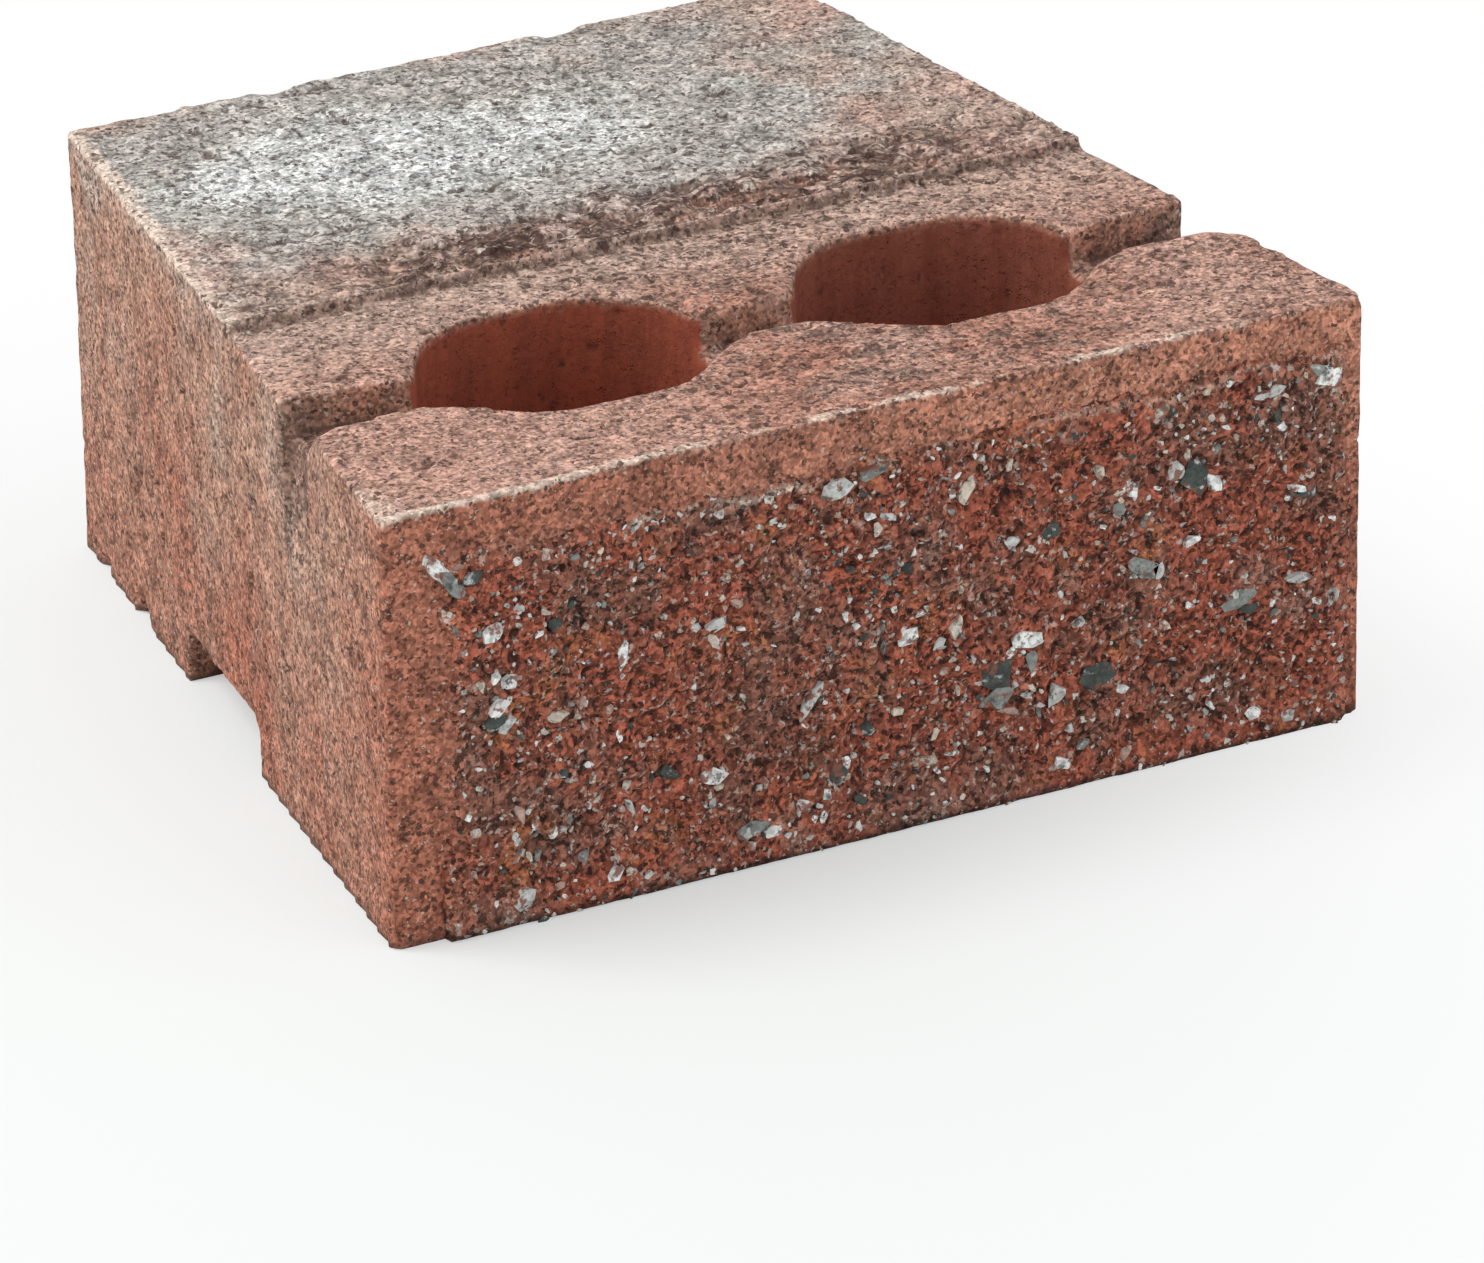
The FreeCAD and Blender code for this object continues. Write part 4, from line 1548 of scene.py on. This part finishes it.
    @staticmethod
    def _scatter(bed: bpy.types.Mesh, tree: bpy.types.NodeTree, grade: StoneGrade) -> bpy.types.Mesh:
        """Run the group for one grade and return its stones as a plain mesh."""
        holder = link_mesh(f"{grade.name}_stones", bed.copy())
        modifier = holder.modifiers.new("seat_stones", "NODES")
        modifier.node_group = tree
        given = {"Radius": grade.radius, "Density": grade.per_square_metre, "Seed": grade.seed}
        for item in tree.interface.items_tree:
            if item.item_type == "SOCKET" and item.in_out == "INPUT" and item.name in given:
                modifier[item.identifier] = given[item.name]
        graph = bpy.context.evaluated_depsgraph_get()
        mesh = bpy.data.meshes.new_from_object(holder.evaluated_get(graph))
        bpy.data.objects.remove(holder)
        LOG.info("%s stones: %d faces", grade.name, len(mesh.polygons))
        return mesh


# ---------------------------------------------------------------- studio


@dataclass(frozen=True)
class Lamp:
    """A soft square lamp that looks at the block."""

    name: str
    place: tuple[float, float, float]
    width: float
    power: float
    colour: Colour = (1.0, 1.0, 1.0)


@dataclass
class Studio:
    """The floor, the lamps, the sky and the camera."""

    sizes: BlockSizes
    azimuth: float = -27.2
    elevation: float = 25.55
    roll: float = -0.92
    distance: float = 2.706
    lens: float = 239.6
    sensor: float = 36.0
    aim: tuple[float, float, float] = (-0.0198, -0.0895, 0.045)
    sky: float = 0.66
    floor_glow: float = 0.445
    floor_colour: Colour = (0.83, 0.87, 0.85)
    floor_reach: float = 30.0
    shade_middle: tuple[float, float, float] = (-0.24, -0.12, 0.0)
    shade_reach: tuple[float, float] = (0.20, 0.55)
    lamps: tuple[Lamp, ...] = (
        Lamp("key", (-1.5, 0.6, 2.5), 1.2, 44.0, (1.0, 0.99, 0.97)),
        Lamp("fill", (1.2, -2.4, 1.5), 2.2, 8.0, (0.97, 0.985, 1.0)),
    )

    def build(self) -> None:
        """Set the stage, the light and the camera."""
        self._floor()
        self._sky()
        for lamp in self.lamps:
            self._lamp(lamp)
        self._camera()
        bpy.context.scene.view_settings.view_transform = "Standard"

    def _floor(self) -> None:
        """A pale floor that keeps a soft shadow near the block and is white further off."""
        tree = MaterialTree("pale_floor")
        from_shade = {0: tree.place, 1: self.shade_middle}
        shifted = tree.add("ShaderNodeVectorMath", {"operation": "SUBTRACT"}, from_shade)
        away = tree.add("ShaderNodeVectorMath", {"operation": "LENGTH"}, {0: shifted.outputs[0]})
        rays = tree.add("ShaderNodeLightPath", {}, {})
        far = tree.mask(tree.value(away, "Value"), *self.shade_reach)
        share = tree.value(rays, "Is Camera Ray") * (self.floor_glow + far * (1.0 - self.floor_glow))
        matt = tree.add(
            "ShaderNodeBsdfPrincipled",
            {},
            {"Base Color": (*self.floor_colour, 1.0), "Roughness": 0.8, "Specular IOR Level": 0.1},
        )
        white = tree.add("ShaderNodeEmission", {}, {"Color": (1.0, 1.0, 1.0, 1.0), "Strength": 1.0})
        both = tree.add("ShaderNodeMixShader", {}, {0: share, 1: matt.outputs[0], 2: white.outputs[0]})
        tree.add("ShaderNodeOutputMaterial", {}, {"Surface": both.outputs[0]})
        mesh = bpy.data.meshes.new("floor")
        reach = self.floor_reach
        corners = [(x * reach, y * reach, 0.0) for x, y in ((-1, -1), (1, -1), (1, 1), (-1, 1))]
        mesh.from_pydata(corners, [], [(0, 1, 2, 3)])
        mesh.materials.append(tree.material)
        link_mesh("floor", mesh)

    def _sky(self) -> None:
        """An even sky that lights the block, and is white where the camera sees it."""
        world = bpy.data.worlds.new("studio_sky")
        world.use_nodes = True
        bpy.context.scene.world = world
        tree = Tree(world.node_tree)
        tree.nodes.nodes.clear()
        rays = tree.add("ShaderNodeLightPath", {}, {})
        seen = tree.value(rays, "Is Camera Ray") + tree.value(rays, "Is Glossy Ray")
        light = tree.add("ShaderNodeBackground", {}, {"Color": (0.97, 0.985, 1.0, 1.0), "Strength": self.sky})
        white = tree.add("ShaderNodeBackground", {}, {"Color": (1.0, 1.0, 1.0, 1.0), "Strength": 1.0})
        both = tree.add("ShaderNodeMixShader", {}, {0: seen, 1: light.outputs[0], 2: white.outputs[0]})
        tree.add("ShaderNodeOutputWorld", {}, {"Surface": both.outputs[0]})

    def _lamp(self, lamp: Lamp) -> None:
        """One area lamp, turned to the block."""
        data = bpy.data.lights.new(lamp.name, "AREA")
        data.shape = "SQUARE"
        data.size = lamp.width
        data.energy = lamp.power
        data.color = lamp.colour
        holder = bpy.data.objects.new(lamp.name, data)
        holder.location = lamp.place
        towards = Vector((0.0, 0.0, self.sizes.deck / 2)) - holder.location
        holder.rotation_euler = towards.to_track_quat("-Z", "Y").to_euler()
        bpy.context.scene.collection.objects.link(holder)

    def _camera(self) -> None:
        """A long lens that looks down on the block's left front corner."""
        data = bpy.data.cameras.new("camera")
        data.lens = self.lens
        data.sensor_width = self.sensor
        data.clip_end = 100.0
        camera = bpy.data.objects.new("camera", data)
        turn = Euler((math.radians(90.0 - self.elevation), 0.0, math.radians(self.azimuth)), "XYZ")
        roll = Matrix.Rotation(math.radians(self.roll), 4, "Z")
        view = turn.to_matrix().to_4x4() @ roll
        back = view.to_3x3() @ Vector((0.0, 0.0, 1.0))
        camera.matrix_world = Matrix.Translation(Vector(self.aim) + back * self.distance) @ view
        bpy.context.scene.collection.objects.link(camera)
        bpy.context.scene.camera = camera


def main(frame: dict) -> None:
    """Build the block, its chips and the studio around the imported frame."""
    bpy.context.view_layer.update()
    low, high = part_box("wall_block")
    sizes = BlockSizes(low, high)
    casting = Casting(sizes).build(frame["nodes"]["wall_block"], ConcreteFinish().build(sizes))
    face = SplitFace(sizes).build(BrokenFinish().build())
    stones = Stones(sizes).build(face, StoneFinish().build())
    for piece in (casting, face, stones):
        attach(piece, "root")
        LOG.info("piece %s: %d faces", piece.name, len(piece.data.polygons))
    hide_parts("wall_block")
    Studio(sizes).build()


if __name__ == "__main__":
    logging.basicConfig(level=logging.INFO, format="%(message)s")
    main(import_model())
